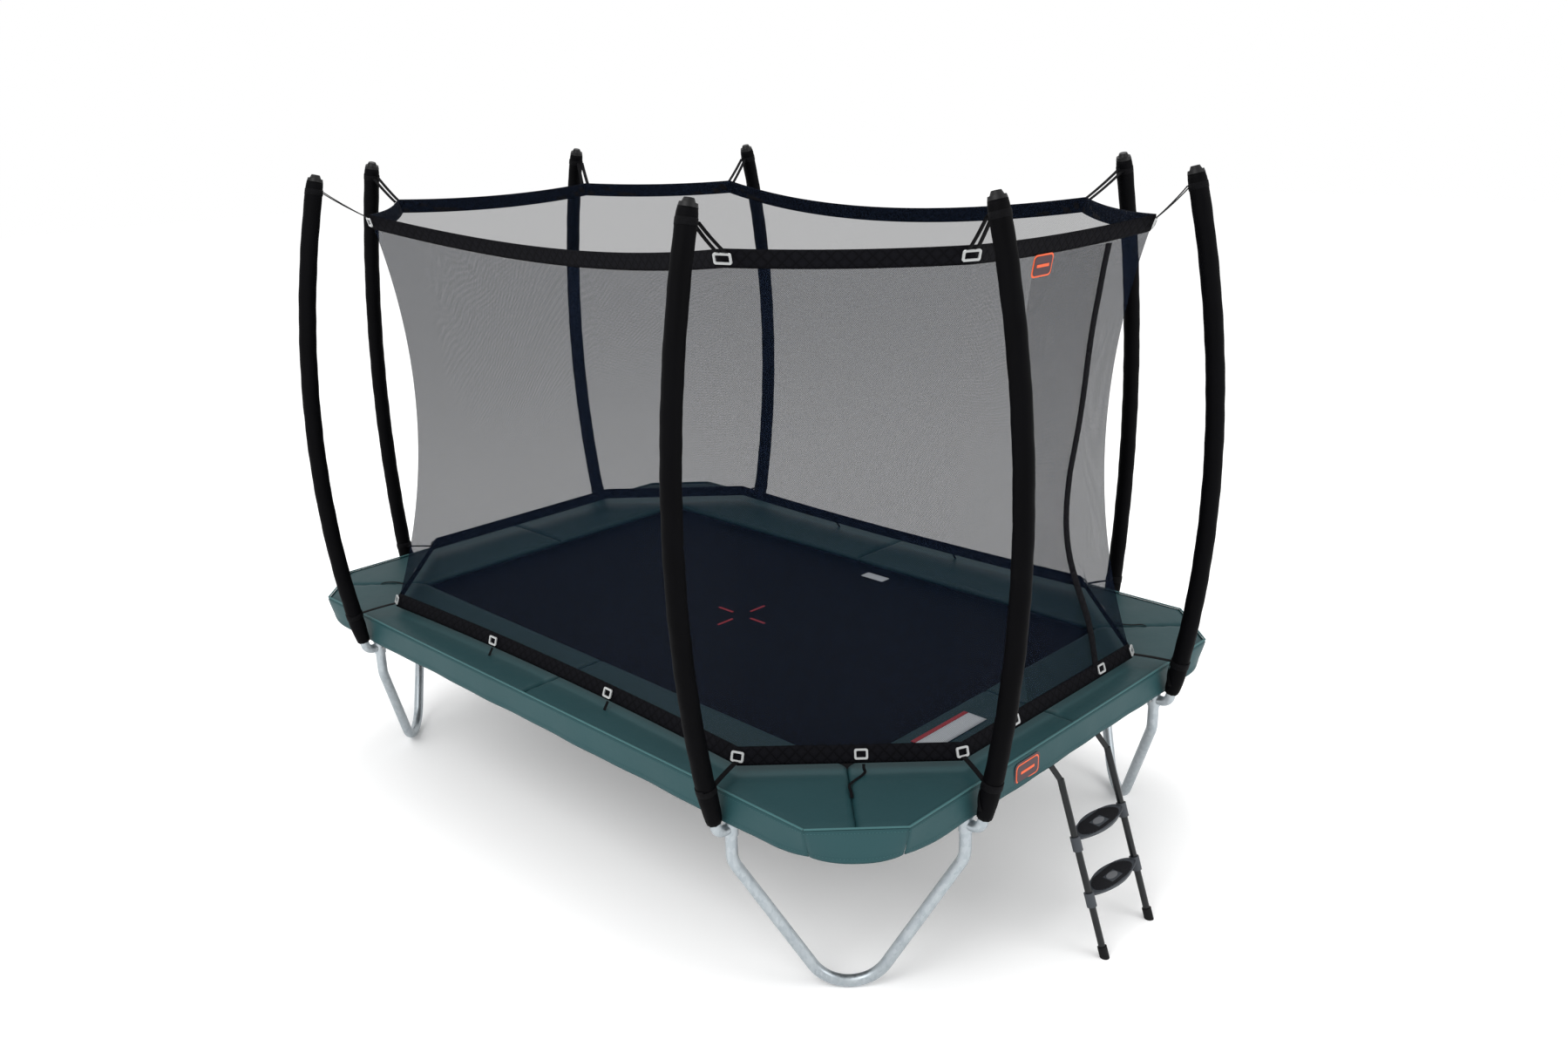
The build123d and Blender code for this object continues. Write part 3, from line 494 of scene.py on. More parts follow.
def sideOut(side):
    a, b, bow = netSides[side]
    way = (b["low"] - a["low"]).normalized()
    return Vector((way.y, -way.x, 0))


def netPoint(side, along, up, shift=0.0, below=None):
    # along and up run 0 to 1; below is a drop in metres from the top edge instead of up; shift is outward
    bowLow, bowHigh, sag = netSides[side][2]
    middle = 4 * along * (1 - along)
    level = netLow + (netTop - sag * middle
            - netLow) * up if below is None else netTop - sag * middle - below
    share = (level - netLow) / (netTop - netLow)
    flat = knotPoint(side, 0, level).lerp(knotPoint(side, 1, level), along)
    flat -= sideOut(side) * (bowLow + (bowHigh - bowLow) * share) * middle
    if shift:
        a, b, bow = netSides[side]
        pull = Vector((*a["out"], 0)).lerp(Vector((*b["out"], 0)), along)
        flat += pull.normalized() * shift
    flat.z = level
    return flat


# net panels: fine mesh pulled into creases at its corners
def creases(side, along, up):
    # shallow folds that run from the tied corners into the panel
    total = 0
    for cornerAlong in (0, 1):
        for cornerUp in (0, 1):
            dx, dy = abs(along - cornerAlong) * sideLength(side), abs(up - cornerUp) * 1.7
            reach = math.hypot(dx, dy)
            angle = math.atan2(dy, dx + 1e-6)
            fade = math.exp(-((reach - 0.28) / 0.30) ** 2) * math.sin(2 * angle)
            total += math.sin(angle * 15 + cornerAlong * 1.7 + cornerUp * 2.3) * fade
    return total * 0.0045


def sideLength(side):
    a, b, bow = netSides[side]
    return (b["low"] - a["low"]).length


def netSheet(name, side, columns, rows, alongs=(0, 1), ups=(0, 1), shift=0.0):
    vertices, uvs = [], []
    length = sideLength(side)
    for row in range(rows + 1):
        for column in range(columns + 1):
            along = alongs[0] + (alongs[1] - alongs[0]) * column / columns
            up = ups[0] + (ups[1] - ups[0]) * row / rows
            edge = min(along, 1 - along, up, 1 - up)
            wave = creases(side, along, up) * min(1, edge * 14)
            vertices.append(netPoint(side, along, up, shift + wave))
            uvs.append((along * length, up * net["height"]))
    return piece(name, vertices, gridFaces(rows + 1, columns + 1), netCloth, uvs=uvs)


netNodes = {"front": "net_front", "back": "net_back", "left": "net_left",
            "cornerFrontRight": "net_corner_front_right", "cornerFrontLeft": "net_corner_front_left",
            "cornerBackRight": "net_corner_back_right", "cornerBackLeft": "net_corner_back_left"}
netPieces = []
for side, node in netNodes.items():
    wide = sideLength(side)
    cloth = netSheet("netPanel_" + side, side, int(wide / 0.03), net["rows"])
    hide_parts(node)
    netPieces.append(cloth)



def doorShare(y):
    return (y + 0.548) / 1.096


outerDoor = netSheet("netPanel_doorSide", "right", 14, net["rows"], alongs=(0, doorShare(-0.14)))
innerDoor = netSheet("netPanel_doorInner", "right", 24, net["rows"], alongs=(doorShare(-0.14), 1))
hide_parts("net_door_side")
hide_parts("net_door_inner")
print("net panels made")


# doorway: loose curtain whose webbing edge snakes down the opening
def edgeWave(z):
    # how far the webbing edge wanders along the side, by height
    t = (z - netLow) / (netTop - netLow)
    return 0.055 * math.sin(math.pi * t) * math.sin(2.6 * math.pi * t + 2.0) + 0.012 * math.sin(15 * t)


def doorPoint(y, z, shift):
    along = doorShare(y)
    top = netTop - 0.018 * 4 * along * (1 - along)
    return netPoint("right", along, None, shift, below=top - z)


def flapPoint(share, z, shift=0.003):
    y = door["hem"] + (door["width"] + edgeWave(z)) * share
    fold = 0.012 * math.sin(share * 9 + z * 2.2) * share * min(1, (netTop - z) * 4, (z - netLow) * 4)
    return doorPoint(y, z, shift + 0.006 * share + abs(fold))


door = {"hem": -0.15, "width": 0.42, "low": 1.25, "high": 2.05, "lowSpan": 0.378, "highSpan": 0.375}
curtainSpans = {"curtain_lower": (0.872, door["low"]), "curtain_middle": (door["low"], door["high"]),
                "curtain_upper": (door["high"], 2.427)}
for node, (low, high) in curtainSpans.items():
    rows = max(12, int((high - low) / 0.02))
    vertices, uvs = [], []
    for row in range(rows + 1):
        z = low + (high - low) * row / rows
        for column in range(23):
            share = column / 22
            vertices.append(flapPoint(share, z))
            uvs.append((share * door["width"] + 0.02, z))
    flap = piece("flap_" + node, vertices, gridFaces(rows + 1, 23), flapCloth, uvs=uvs, ride=False)
    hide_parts(node)
    line = [flapPoint(1, low + (high - low) * i / rows, 0.006) for i in range(rows + 1)]
    lean = [doorPoint(0.31, p.z, 0) - doorPoint(0.19, p.z, 0) for p in line]
    webVertices, webFaces, webUvs = ribbon(line, 0.036, 0.0028, lean)
    strip = piece("flapEdge_" + node, webVertices, webFaces, bandCloth, uvs=webUvs, ride=False)
    if node == "curtain_middle":
        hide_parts("door_webbing")
        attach(strip, "door_webbing")
    else:
        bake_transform(strip)
    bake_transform(flap)
print("doorway made")


# quilted bands round the net's top and bottom, with a row of stitches on each edge
def bandAt(top, offset, shift, perMetre=40):
    line = []
    for side in ringOrder:
        count = max(4, int(sideLength(side) * perMetre))
        for i in range(count):
            along = i / count
            drop = net["band"] * offset
            if top:
                line.append(netPoint(side, along, None, shift, below=drop))
            else:
                line.append(netPoint(side, along, (net["band"] - drop) / (netTop - netLow), shift))
    return line


def quiltedBand(name, top, node):
    profile = []
    for i in range(9):
        t = i / 8
        profile.append((t, 0.0005 + 0.0042 * (1 - abs(2 * t - 1) ** 3)))
    for i in range(7, 0, -1):
        profile.append((i / 8, -0.0012))
    rings = [bandAt(top, t, lift + 0.0015) for t, lift in profile]
    count, sides = len(rings[0]), len(rings)
    vertices, uvs, length = [], [], 0
    for k in range(count):
        if k:
            length += (rings[0][k] - rings[0][k - 1]).length
        for j in range(sides):
            pucker = 0.0008 * math.sin(length * 150) if j < 9 and 0 < j < 8 else 0
            point = rings[j][k]
            vertices.append(point + Vector((point.x, point.y, 0)).normalized() * pucker)
            uvs.append((length, profile[j][0] * net["band"]))
    faces = []
    for k in range(count):
        for j in range(sides):
            a, b = k * sides, (k + 1) % count * sides
            faces.append((a + j, b + j, b + (j + 1) % sides, a + (j + 1) % sides))
    made = piece(name, vertices, faces, bandCloth, uvs=uvs)
    recalc(made)
    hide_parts(node)
    return made


quiltedBand("quiltedBandTop", True, "top_band")
quiltedBand("quiltedBandBottom", False, "bottom_band")
for top in (True, False):
    for offset in (0.08, 0.92):
        line = bandAt(top, offset, 0.0048)
        repeatAlong(f"bandStitch_{'top' if top else 'bottom'}_{int(offset * 100)}", line + line[:1], stitch,
                0.012, threadBlack)
print("bands made")


# foam sleeves on the poles, gathered over the elbow at the foot and under the cap
pole = {"lean": math.radians(1.0), "socket": 0.634, "foot": 0.050, "length": 1.958, "sleeve": 0.0335,
        "points": ((0.075, 0.066), (0.172, 1.016), (0.035, 2.006))}
standsAll = []
for sx in (-1, 1):
    for sy in (-1, 1):
        standsAll.append((Vector((sx * 1.125, sy * 1.153, pole["socket"])), Vector((0, sy, 0)),
                Vector((-sx, 0, 0))))
        standsAll.append((Vector((sx * 1.688, sy * 0.617, pole["socket"])), Vector((sx, 0, 0)),
                Vector((0, -sy, 0))))


def circleThrough(a, b, c):
    ax, ay, bx, by, cx, cy = *a, *b, *c
    d = 2 * (ax * (by - cy) + bx * (cy - ay) + cx * (ay - by))
    x = ((ax * ax + ay * ay) * (by - cy) + (bx * bx + by * by) * (cy - ay)
            + (cx * cx + cy * cy) * (ay - by)) / d
    y = ((ax * ax + ay * ay) * (cx - bx) + (bx * bx + by * by) * (ax - cx)
            + (cx * cx + cy * cy) * (bx - ax)) / d
    return x, y, math.hypot(ax - x, ay - y)


poleCircle = circleThrough(*pole["points"])


def polePoint(stand, height, outward=0.0):
    place, out, inward = stand
    cx, cy, radius = poleCircle
    x = cx + math.sqrt(radius * radius - (height - cy) ** 2) + outward
    rise = (Vector((0, 0, 1)) + inward * math.tan(pole["lean"])).normalized()
    return place + out * x + rise * height


def sleeveRadius(share, angle, number):
    foot = min(1, share / 0.045)
    head = min(1, (1 - share) / 0.02)
    radius = pole["sleeve"] * (0.76 + 0.24 * foot ** 0.6) * (0.9 + 0.1 * head ** 0.5)
    ripple = 0.0005 * math.sin(share * 61 + number * 1.9 + 2 * math.sin(angle + number))
    ripple += 0.0004 * math.sin(share * 137 + angle * 2 + number)
    if foot < 1:
        ripple += 0.0012 * math.sin(angle * 9) * (1 - foot)
    return radius + ripple


sleeveParts = []
for number, stand in enumerate(standsAll):
    path = [polePoint(stand, pole["foot"] + pole["length"] * i / 130) for i in range(131)]
    part = sweepTube(path, lambda share, angle: sleeveRadius(share, angle, number), 24, up=stand[1])
    sleeveParts.append(part)
sleeves = piece("foamSleeves", *merged(sleeveParts)[:2], sleeveCloth, uvs=merged(sleeveParts)[2])
recalc(sleeves)
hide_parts("pole_sleeves")

# seam along the inner line of every sleeve
for number, stand in enumerate(standsAll):
    line = [polePoint(stand, 0.16 + 1.78 * i / 60, -0.0338) for i in range(61)]
    repeatAlong(f"sleeveStitch_{number}", line, stitch, 0.014, threadBlack)
print("sleeves made")


# straps: ribbons with loops round the poles and buckles
def poleFrame(stand, height):
    ahead = (polePoint(stand, height + 0.01) - polePoint(stand, height - 0.01)).normalized()
    out = (stand[1] - ahead * stand[1].dot(ahead)).normalized()
    return ahead, out, ahead.cross(out)


def poleWrap(stand, height, radius, width, turns=1.0, climb=0.0):
    ahead, out, side = poleFrame(stand, height)
    centre = polePoint(stand, height)
    count = int(28 * turns)
    line, flats = [], []
    for i in range(count + 1):
        angle = 2 * math.pi * turns * i / count + math.pi
        line.append(centre + (out * math.cos(angle) + side * math.sin(angle)) * radius
                    + ahead * (climb * i / count))
        flats.append(ahead)
    return ribbon(line, width, 0.0018, flats)


def strapLine(start, end, sag, steps=10):
    line = []
    for i in range(steps + 1):
        t = i / steps
        point = start.lerp(end, t)
        point.z -= sag * 4 * t * (1 - t)
        line.append(point)
    return line


def nearestKnot(stand, top):
    spots = []
    for side in ringOrder:
        level = netTop - 0.03 if top else netLow + 0.03
        spots.append((knotPoint(side, 0, level) - polePoint(stand, level - pole["socket"])).length)
    side = ringOrder[spots.index(min(spots))]
    return side


upperParts, lowerParts = [], []
for stand in standsAll:
    side = nearestKnot(stand, True)
    high = knotPoint(side, 0, netTop - 0.012)
    pull = (polePoint(stand, 1.96) - high)
    out = Vector((pull.x, pull.y, 0)).normalized()
    across = Vector((-out.y, out.x, 0))
    across = across if across.dot(stand[2]) > 0 else -across
    for shift in (-0.012, 0.012):
        start = high + out * 0.0085 + across * shift * 1.2
        end = polePoint(stand, 1.965, -0.034) + stand[2] * shift
        upperParts.append(ribbon(strapLine(start, end, 0.004), 0.018, 0.0018, stand[2] + across))
    upperParts.append(poleWrap(stand, 1.962, 0.0338, 0.018, 2.0, 0.010))
    low = knotPoint(side, 0, netLow + 0.016)
    start = low + out * 0.0085
    end = polePoint(stand, 0.181, -0.0338)
    lowerParts.append(ribbon(strapLine(start, end, -0.002), 0.020, 0.0018, stand[2] + across))
    lowerParts.append(poleWrap(stand, 0.176, 0.0350, 0.022, 1.6, 0.010))
    # the free tail crosses the pole and goes down to its foot
    ahead, outward, sideways = poleFrame(stand, 0.12)
    tail = [polePoint(stand, 0.178) + (outward * math.cos(a) + sideways * math.sin(a)) * 0.0352
            + ahead * (-0.09 * k / 10) for k, a in ((k, math.pi + 0.5 * k / 10 * math.pi)
                    for k in range(11))]
    lowerParts.append(ribbon(tail, 0.018, 0.0018, [ahead] * 11))

# short straps from the lower band's middle buckles, down and over the pad's edge
lowBuckles = []
for side in ringOrder:
    if side in ("front", "back"):
        for x in (-0.370, 0.370):
            lowBuckles.append((side, (x * (1 if side == "front" else -1) + 1.081) / 2.162))
    elif side.startswith("corner"):
        lowBuckles.append((side, 0.56))
for side, along in lowBuckles:
    face = netPoint(side, along, 0.0, 0.0085)
    out = sideOut(side)
    onPad = face + out * 0.020
    onPad.z = padTop + 0.0016
    if side.startswith("corner"):
        away = (1.605 - abs(onPad.x)) * 0.7071 + (1.070 - abs(onPad.y)) * 0.7071
        seamStart = Vector((math.copysign(openX, face.x), math.copysign(openY, face.y), onPad.z))
        seamWay = (Vector((math.copysign(1.605, face.x), math.copysign(1.070, face.y),
                onPad.z)) - seamStart).normalized()
        onSeam = [seamStart + seamWay * ((onPad - seamStart).dot(seamWay) + away * share)
                for share in (0.2, 0.36, 0.42)]
        onSeam[2].z -= 0.008
        points = [face, (face + onPad) / 2 - out * 0.002, onPad] + onSeam
        lowerParts.append(ribbon(smoothLine(points, 5), 0.010, 0.0016, Vector((-out.y, out.x, 0))))
    else:
        points = [face, (face + onPad) / 2 - out * 0.002, onPad - Vector((0, 0, 0.004))]
        lowerParts.append(ribbon(smoothLine(points, 6), 0.014, 0.0016, Vector((-out.y, out.x, 0))))
for name, parts, node in (("upperStraps", upperParts, "top_straps"),
        ("lowerStraps", lowerParts, "bottom_straps")):
    vertices, faces, uvs = merged(parts)
    straps = piece(name, vertices, faces, strapCloth, uvs=uvs)
    recalc(straps)
    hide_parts(node)
print("straps made")


# pads: eight vinyl covers over foam, with a crease at each seam and piping on the outer edge
def rough(x, y, z, scale, seed):
    return noise.noise(Vector((x * scale + seed, y * scale, z * scale - seed)))


def lineAt(points, share):
    lengths = [(b - a).length for a, b in zip(points, points[1:])]
    target = share * sum(lengths)
    for a, b, length in zip(points, points[1:], lengths):
        if target <= length or (a, b) == (points[-2], points[-1]):
            return a.lerp(b, min(1, target / length))
        target -= length
    return points[-1].copy()


def padFor(name, outer, inner, seed, hooks=()):
    # outer and inner are lines in plan, from one seam to the other
    columns = max(30, int(sum((b - a).length for a, b in zip(outer, outer[1:])) / 0.014))
    shape = []
    for i in range(25):
        t = 0.5 - 0.5 * math.cos(math.pi * i / 24)
        shape.append((t, 1))
    for i in range(17, 0, -1):
        t = 0.5 - 0.5 * math.cos(math.pi * i / 18)
        shape.append((t, -1))
    length = sum((b - a).length for a, b in zip(outer, outer[1:]))
    middle, half = (padLow + padTop) / 2, (padTop - padLow) / 2 - 0.0008
    vertices, uvs = [], []
    for column in range(columns + 1):
        share = 0.5 - 0.5 * math.cos(math.pi * column / columns) if column in (0,
                columns) else column / columns
        o, n = lineAt(outer, share), lineAt(inner, share)
        far = min(share, 1 - share) * length
        crease = 0.35 + 0.65 * (1 - math.exp(-far / 0.007))
        soft = 0.0030 * math.exp(-far / 0.05)
        for t, up in shape:
            inset = 0.0012 + (0.004 * math.exp(-far / 0.006))
            place = o.lerp(n, 0.002 + 0.996 * t)
            edge = abs(2 * t - 1)
            height = (1 - edge ** 14) ** 0.42
            top = middle + half * height * crease
            if up > 0:
                swell = 0.0016 * rough(place.x, place.y, 0, 3.2, seed) + 0.0011 * rough(place.x, place.y, 1,
                        9, seed)
                pucker = soft * (math.sin(t * 38 + seed) * 0.5 - 0.5)
                z = min(top + (swell - 0.0014 + pucker) * height, padTop + 0.0012)
            else:
                z = middle - half * height * crease
                for y in hooks:
                    near = max(abs(place.y - y) - 0.015, 0) / 0.012 + max(abs(place.x - 1.688) - 0.031,
                            0) / 0.012
                    z = max(z, 0.7600 - 0.012 * min(near, 1) ** 2) if near < 1 else z
            vertices.append(Vector((place.x, place.y, z)))
            uvs.append((share * length, t * 0.4))
    sides = len(shape)
    faces = gridFaces(columns + 1, sides, closeColumns=True)
    faces.append(tuple(range(sides)))
    faces.append(tuple(columns * sides + k for k in reversed(range(sides))))
    made = piece("cushion_" + name, vertices, faces, padTopVinyl, uvs=uvs)
    recalc(made)
    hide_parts(name)
    return made


cutMidX, cutMidY = (padX + cutX) / 2, (padY + cutY) / 2
number = 0
firstPad = None
for ny, nx, sx, sy in quadrants:
    number += 1
    g = 0.0007
    longOuter = [Vector((sx * g, sy * (padY - 0.0015))),
            Vector((sx * (cutX - 0.001), sy * (padY - 0.0015))),
                 Vector((sx * (cutMidX - 0.0012), sy * (cutMidY - 0.0005)))]
    longInner = [Vector((sx * g, sy * openY)), Vector((sx * (openX - g), sy * openY))]
    shortOuter = [Vector((sx * (padX - 0.0015), sy * g)),
            Vector((sx * (padX - 0.0015), sy * (cutY - 0.001))),
                  Vector((sx * (cutMidX - 0.0005), sy * (cutMidY - 0.0012)))]
    shortInner = [Vector((sx * openX, sy * g)), Vector((sx * openX, sy * (openY - g)))]
    hook = ((-0.161,) if sy < 0 else (0.149,)) if sx > 0 else ()
    made = padFor(f"pad_{ny}_{nx}", longOuter, longInner, number * 3.1)
    firstPad = firstPad or made
    padFor(f"pad_{nx}_{ny}", shortOuter, shortInner, number * 3.1 + 1.7, hook)
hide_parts("pad_foam")
print("pads made")


# skirt: one hanging strip of vinyl per side and corner, hemmed and stitched
outline = []
for sx, sy in ((1, -1), (1, 1), (-1, 1), (-1, -1)):
    first, second = Vector((sx * cutX, sy * padY)), Vector((sx * padX, sy * cutY))
    outline.append((second, first) if sx * sy > 0 else (first, second))


def skirtPoint(place, out, drop, hang, deep):
    # drop 0 at the pad's top edge, 1 at the hem
    lap = 0.0022 * math.sin(place.x * 9.3 + place.y * 7.1) + 0.0012 * math.sin(place.x * 23 - place.y * 31
            + 1)
    flare = 0.0045 * drop ** 2 + lap * drop
    top = padTop - 0.0022
    level = top - (top - skirtLow - hang) * drop
    inward = 0.010 * max(0, 1 - drop / 0.10) ** 2
    turning = min(math.hypot(abs(place.x) - padX, abs(place.y) - cutY),
            math.hypot(abs(place.x) - cutX, abs(place.y) - padY))
    scoop = 0.20 * max(0, 0.15 - turning) ** 2 / 0.15 * drop ** 1.3
    middle = Vector((place.x, place.y)) - Vector((math.copysign(1.45, place.x),
            math.copysign(0.92, place.y)))
    place = place - middle.normalized() * scoop * (1 if abs(place.x) > 1.3 and abs(place.y) > 0.8 else 0)
    return Vector((place.x, place.y, 0)) + Vector((out.x, out.y, 0)) * (flare - inward - deep) + Vector((0,
            0, level))


def skirtPanel(name, start, end, rounded):
    way = (end - start).normalized()
    out = Vector((way.y, -way.x))
    length = (end - start).length
    columns = max(8, int(length / 0.018))
    rows = 15
    vertices, uvs = [], []
    for layer in (0, 1):
        for row in range(rows):
            drop = row / (rows - 1)
            for column in range(columns + 1):
                share = column / columns
                place = start.lerp(end, share)
                hang = 0.0
                if rounded:
                    hang = -0.012 * math.sin(math.pi * share) ** 0.7
                hem = 0.0014 if drop > 0.86 and layer == 0 else 0
                vertices.append(skirtPoint(place, out, drop, hang, 0.0018 * layer - hem))
                uvs.append((share * length, drop * 0.108))
    one = rows * (columns + 1)
    faces = gridFaces(rows, columns + 1)
    back = [tuple(one + k for k in reversed(face)) for face in faces]
    rim = list(range(columns + 1)) + [r * (columns + 1) + columns for r in range(1, rows)]
    rim += [(rows - 1) * (columns + 1) + c for c in range(columns - 1, -1, -1)]
    rim += [r * (columns + 1) for r in range(rows - 2, 0, -1)]
    faces += back + [(rim[i], rim[(i + 1) % len(rim)], one + rim[(i + 1) % len(rim)], one + rim[i])
                     for i in range(len(rim))]
    made = piece(name, vertices, faces, skirtVinyl, uvs=uvs, ride=False)
    recalc(made)
    seams = []
    for drop in (0.87, 0.115):
        line = [skirtPoint(start.lerp(end, i / 60), out, drop,
                           -0.012 * math.sin(math.pi
                                   * i / 60) ** 0.7 if rounded else 0, -0.0018) for i in range(61)]
        seams.append(repeatAlong(f"{name}_stitch{int(drop * 100)}", line, stitch, 0.011, weltVinyl,
                ride=False))
    return made, seams, length


sideNames = {0: ("right", 0, 1), 1: ("back", 1, 2), 2: ("left", 2, 3), 3: ("front", 3, 0)}
for name, a, b in sideNames.values():
    start, end = outline[a][1], outline[b][0]
    made, seams, length = skirtPanel("skirtCloth_" + name, start, end, False)
    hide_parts("skirt_" + name)
    for part in [made] + seams:
        if name == "right":
            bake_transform(part)
        else:
            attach(part, "frame")
for index, (first, second) in enumerate(outline):
    made, seams, length = skirtPanel(f"skirtCloth_corner{index}", first, second, True)
    for part in [made] + seams:
        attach(part, "frame")
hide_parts("skirt_corners")
ring = []
for first, second in outline:
    ring += [first, second]
welt = []
for i, point in enumerate(ring):
    after = ring[(i + 1) % len(ring)]
    count = max(6, int((after - point).length / 0.02))
    welt += [Vector((*point.lerp(after, k / count), padTop - 0.0012)) for k in range(count)]
inset = [p - Vector((p.x / 600, p.y / 400, 0)) for p in welt]
weltVertices, weltFaces, weltUvs = sweepTube(inset + inset[:1], lambda share, angle: 0.0034, 8, caps=False)
pipe = piece("weltPiping", weltVertices, weltFaces, weltVinyl, uvs=weltUvs)
recalc(pipe)
print("skirts made")


# mat: woven sheet with a folded webbing hem and rows of stitches
matX, matY = matHigh[0], matHigh[1]
matZ = frameZ
matCut = 0.0715


def matEdge(inset):
    corner = [Vector((matX - inset, matY - matCut - inset * 0.41)),
            Vector((matX - matCut - inset * 0.41, matY - inset))]
    points = []
    for sx, sy in ((1, 1), (-1, 1), (-1, -1), (1, -1)):
        pair = [Vector((p.x * sx, p.y * sy)) for p in corner]
        points += pair if sx * sy > 0 else pair[::-1]
    line = []
    for i, point in enumerate(points):
        after = points[(i + 1) % len(points)]
        steps = max(2, int((after - point).length / 0.03))
        line += [point.lerp(after, k / steps) for k in range(steps)]
    return line


def matSag(x, y):
    return -0.004 * (1 - (x / matX) ** 2) * (1 - (y / matY) ** 2)


edgeLine = matEdge(0)
count = len(edgeLine)
vertices, uvs = [], []
ringsIn = [0, 0.004, 0.02, 0.05, 0.1, 0.18, 0.28, 0.4, 0.52, 0.64, 0.76, 0.88, 1.0]
for side in (1, -1):
    for share in ringsIn[:-1]:
        for p in edgeLine:
            x, y = p.x * (1 - share), p.y * (1 - share)
            round_ = 0.0 if share else 0.0006
            z = matZ + side * (0.0012 - round_) + matSag(x, y)
            vertices.append(Vector((x, y, z)))
            uvs.append((x, y))
    vertices.append(Vector((0, 0, matZ + side * 0.0012 + matSag(0, 0))))
    uvs.append((0, 0))
one = (len(ringsIn) - 1) * count + 1
faces = []
for side in (0, 1):
    start = side * one
    for r in range(len(ringsIn) - 2):
        for k in range(count):
            n = (k + 1) % count
            quad = (start + r * count + k, start + r * count + n, start + (r + 1) * count + n,
                    start + (r + 1) * count + k)
            faces.append(quad if side == 0 else quad[::-1])
    last = start + (len(ringsIn) - 2) * count
    for k in range(count):
        tri = (last + k, last + (k + 1) % count, start + one - 1)
        faces.append(tri if side == 0 else tri[::-1])
for k in range(count):
    n = (k + 1) % count
    faces.append((k, one + k, one + n, n))
cloth = piece("matCloth", vertices, faces, matCloth, uvs=uvs, body="mat")
recalc(cloth)
hemParts = []
for inset, z in ((0.026, 0.0022), (0.026, -0.0022)):
    line = [Vector((p.x, p.y, matZ + z + matSag(p.x, p.y))) for p in matEdge(inset)]
    ways = []
    for i, p in enumerate(line):
        way = (line[(i + 1) % len(line)] - line[i - 1]).normalized()
        ways.append(Vector((way.y, -way.x, 0)))
    hemParts.append(ribbon(line + line[:1], 0.046, 0.0016, ways + ways[:1]))
hem = piece("matHem", *merged(hemParts)[:2], strapCloth, uvs=merged(hemParts)[2], body="mat")
recalc(hem)
for inset in (0.006, 0.016, 0.036, 0.046):
    line = [Vector((p.x, p.y, matZ + 0.0034 + matSag(p.x, p.y))) for p in matEdge(inset)]
    repeatAlong(f"matStitch{int(inset * 1000)}", line + line[:1], stitch, 0.013,
            threadBlack, body="mat")
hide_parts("mat")
print("mat made")


# springs: a ribbed barrel with a bent hook at each end, following the mat at their inner ends
spring = {"barrel": 0.130, "turns": 15, "wide": 0.0092, "narrow": 0.0077, "wire": 0.0020,
          "pitch": 0.1, "cornerPitch": 0.036, "reach": 0.030}
bend = 0.360  # the frame corner's radius, to the tube's centre


def springAt(start, out, length):
    # start is on the mat's ring, out points to the frame tube
    parts = []
    turns, barrel = spring["turns"], spring["barrel"]
    path, radii = [], []
    bare = (length - barrel) / 2
    for i in range(turns * 2 + 1):
        path.append(start + out * (bare + barrel * i / (turns * 2)))
        radii.append(spring["wide"] if i % 2 else spring["narrow"])
    parts.append(sweepTube(path, lambda share, angle: radii[round(share * turns * 2)], 8))
    lift = Vector((0, 0, 1))
    inner = [start + out * (bare + 0.004), start + out * 0.020, start + out * 0.006 + lift * 0.004,
             start - out * 0.002 + lift * 0.001, start + out * 0.002 - lift * 0.005]
    outer = [start + out * (length - bare - 0.004), start + out * (length - 0.012),
            start + out * (length + 0.001),
             start + out * (length + 0.006) - lift * 0.004]
    for points in (inner, outer):
        line = smoothLine(points, 4)
        parts.append(sweepTube(line, lambda share, angle: spring["wire"], 6))
    return parts


springGroups = {"front": [], "back": [], "left": [], "right": [],
                "frontRight": [], "frontLeft": [], "backRight": [], "backLeft": []}
reach = spring["reach"]
sideGap = frameY - matY - reach - tubeRadius
for sy, name in ((-1, "front"), (1, "back")):
    for i in range(25):
        x = (i - 12) * spring["pitch"]
        springGroups[name] += springAt(Vector((x, sy * (matY + reach), frameZ)), Vector((0, sy, 0)),
                sideGap)
for sx, name in ((-1, "left"), (1, "right")):
    for i in range(15):
        y = (i - 7) * spring["pitch"]
        springGroups[name] += springAt(Vector((sx * (matX + reach), y, frameZ)), Vector((sx, 0, 0)),
                sideGap)
for sx, sy, name in ((1, -1, "frontRight"), (-1, -1, "frontLeft"), (1, 1, "backRight"),
        (-1, 1, "backLeft")):
    out = Vector((sx, sy, 0)).normalized()
    along = Vector((-sy, sx, 0)).normalized()
    middle = Vector((sx * (matX - matCut / 2), sy * (matY - matCut / 2), frameZ))
    for i in (-1, 0, 1):
        start = middle + along * (spring["cornerPitch"] * i) + out * reach
        centre = Vector((sx * (frameX - bend), sy * (frameY - bend), frameZ))
        far = 0
        while (start + out * far - centre).length < bend - tubeRadius and far < 0.5:
            far += 0.001
        springGroups[name] += springAt(start, out, far)
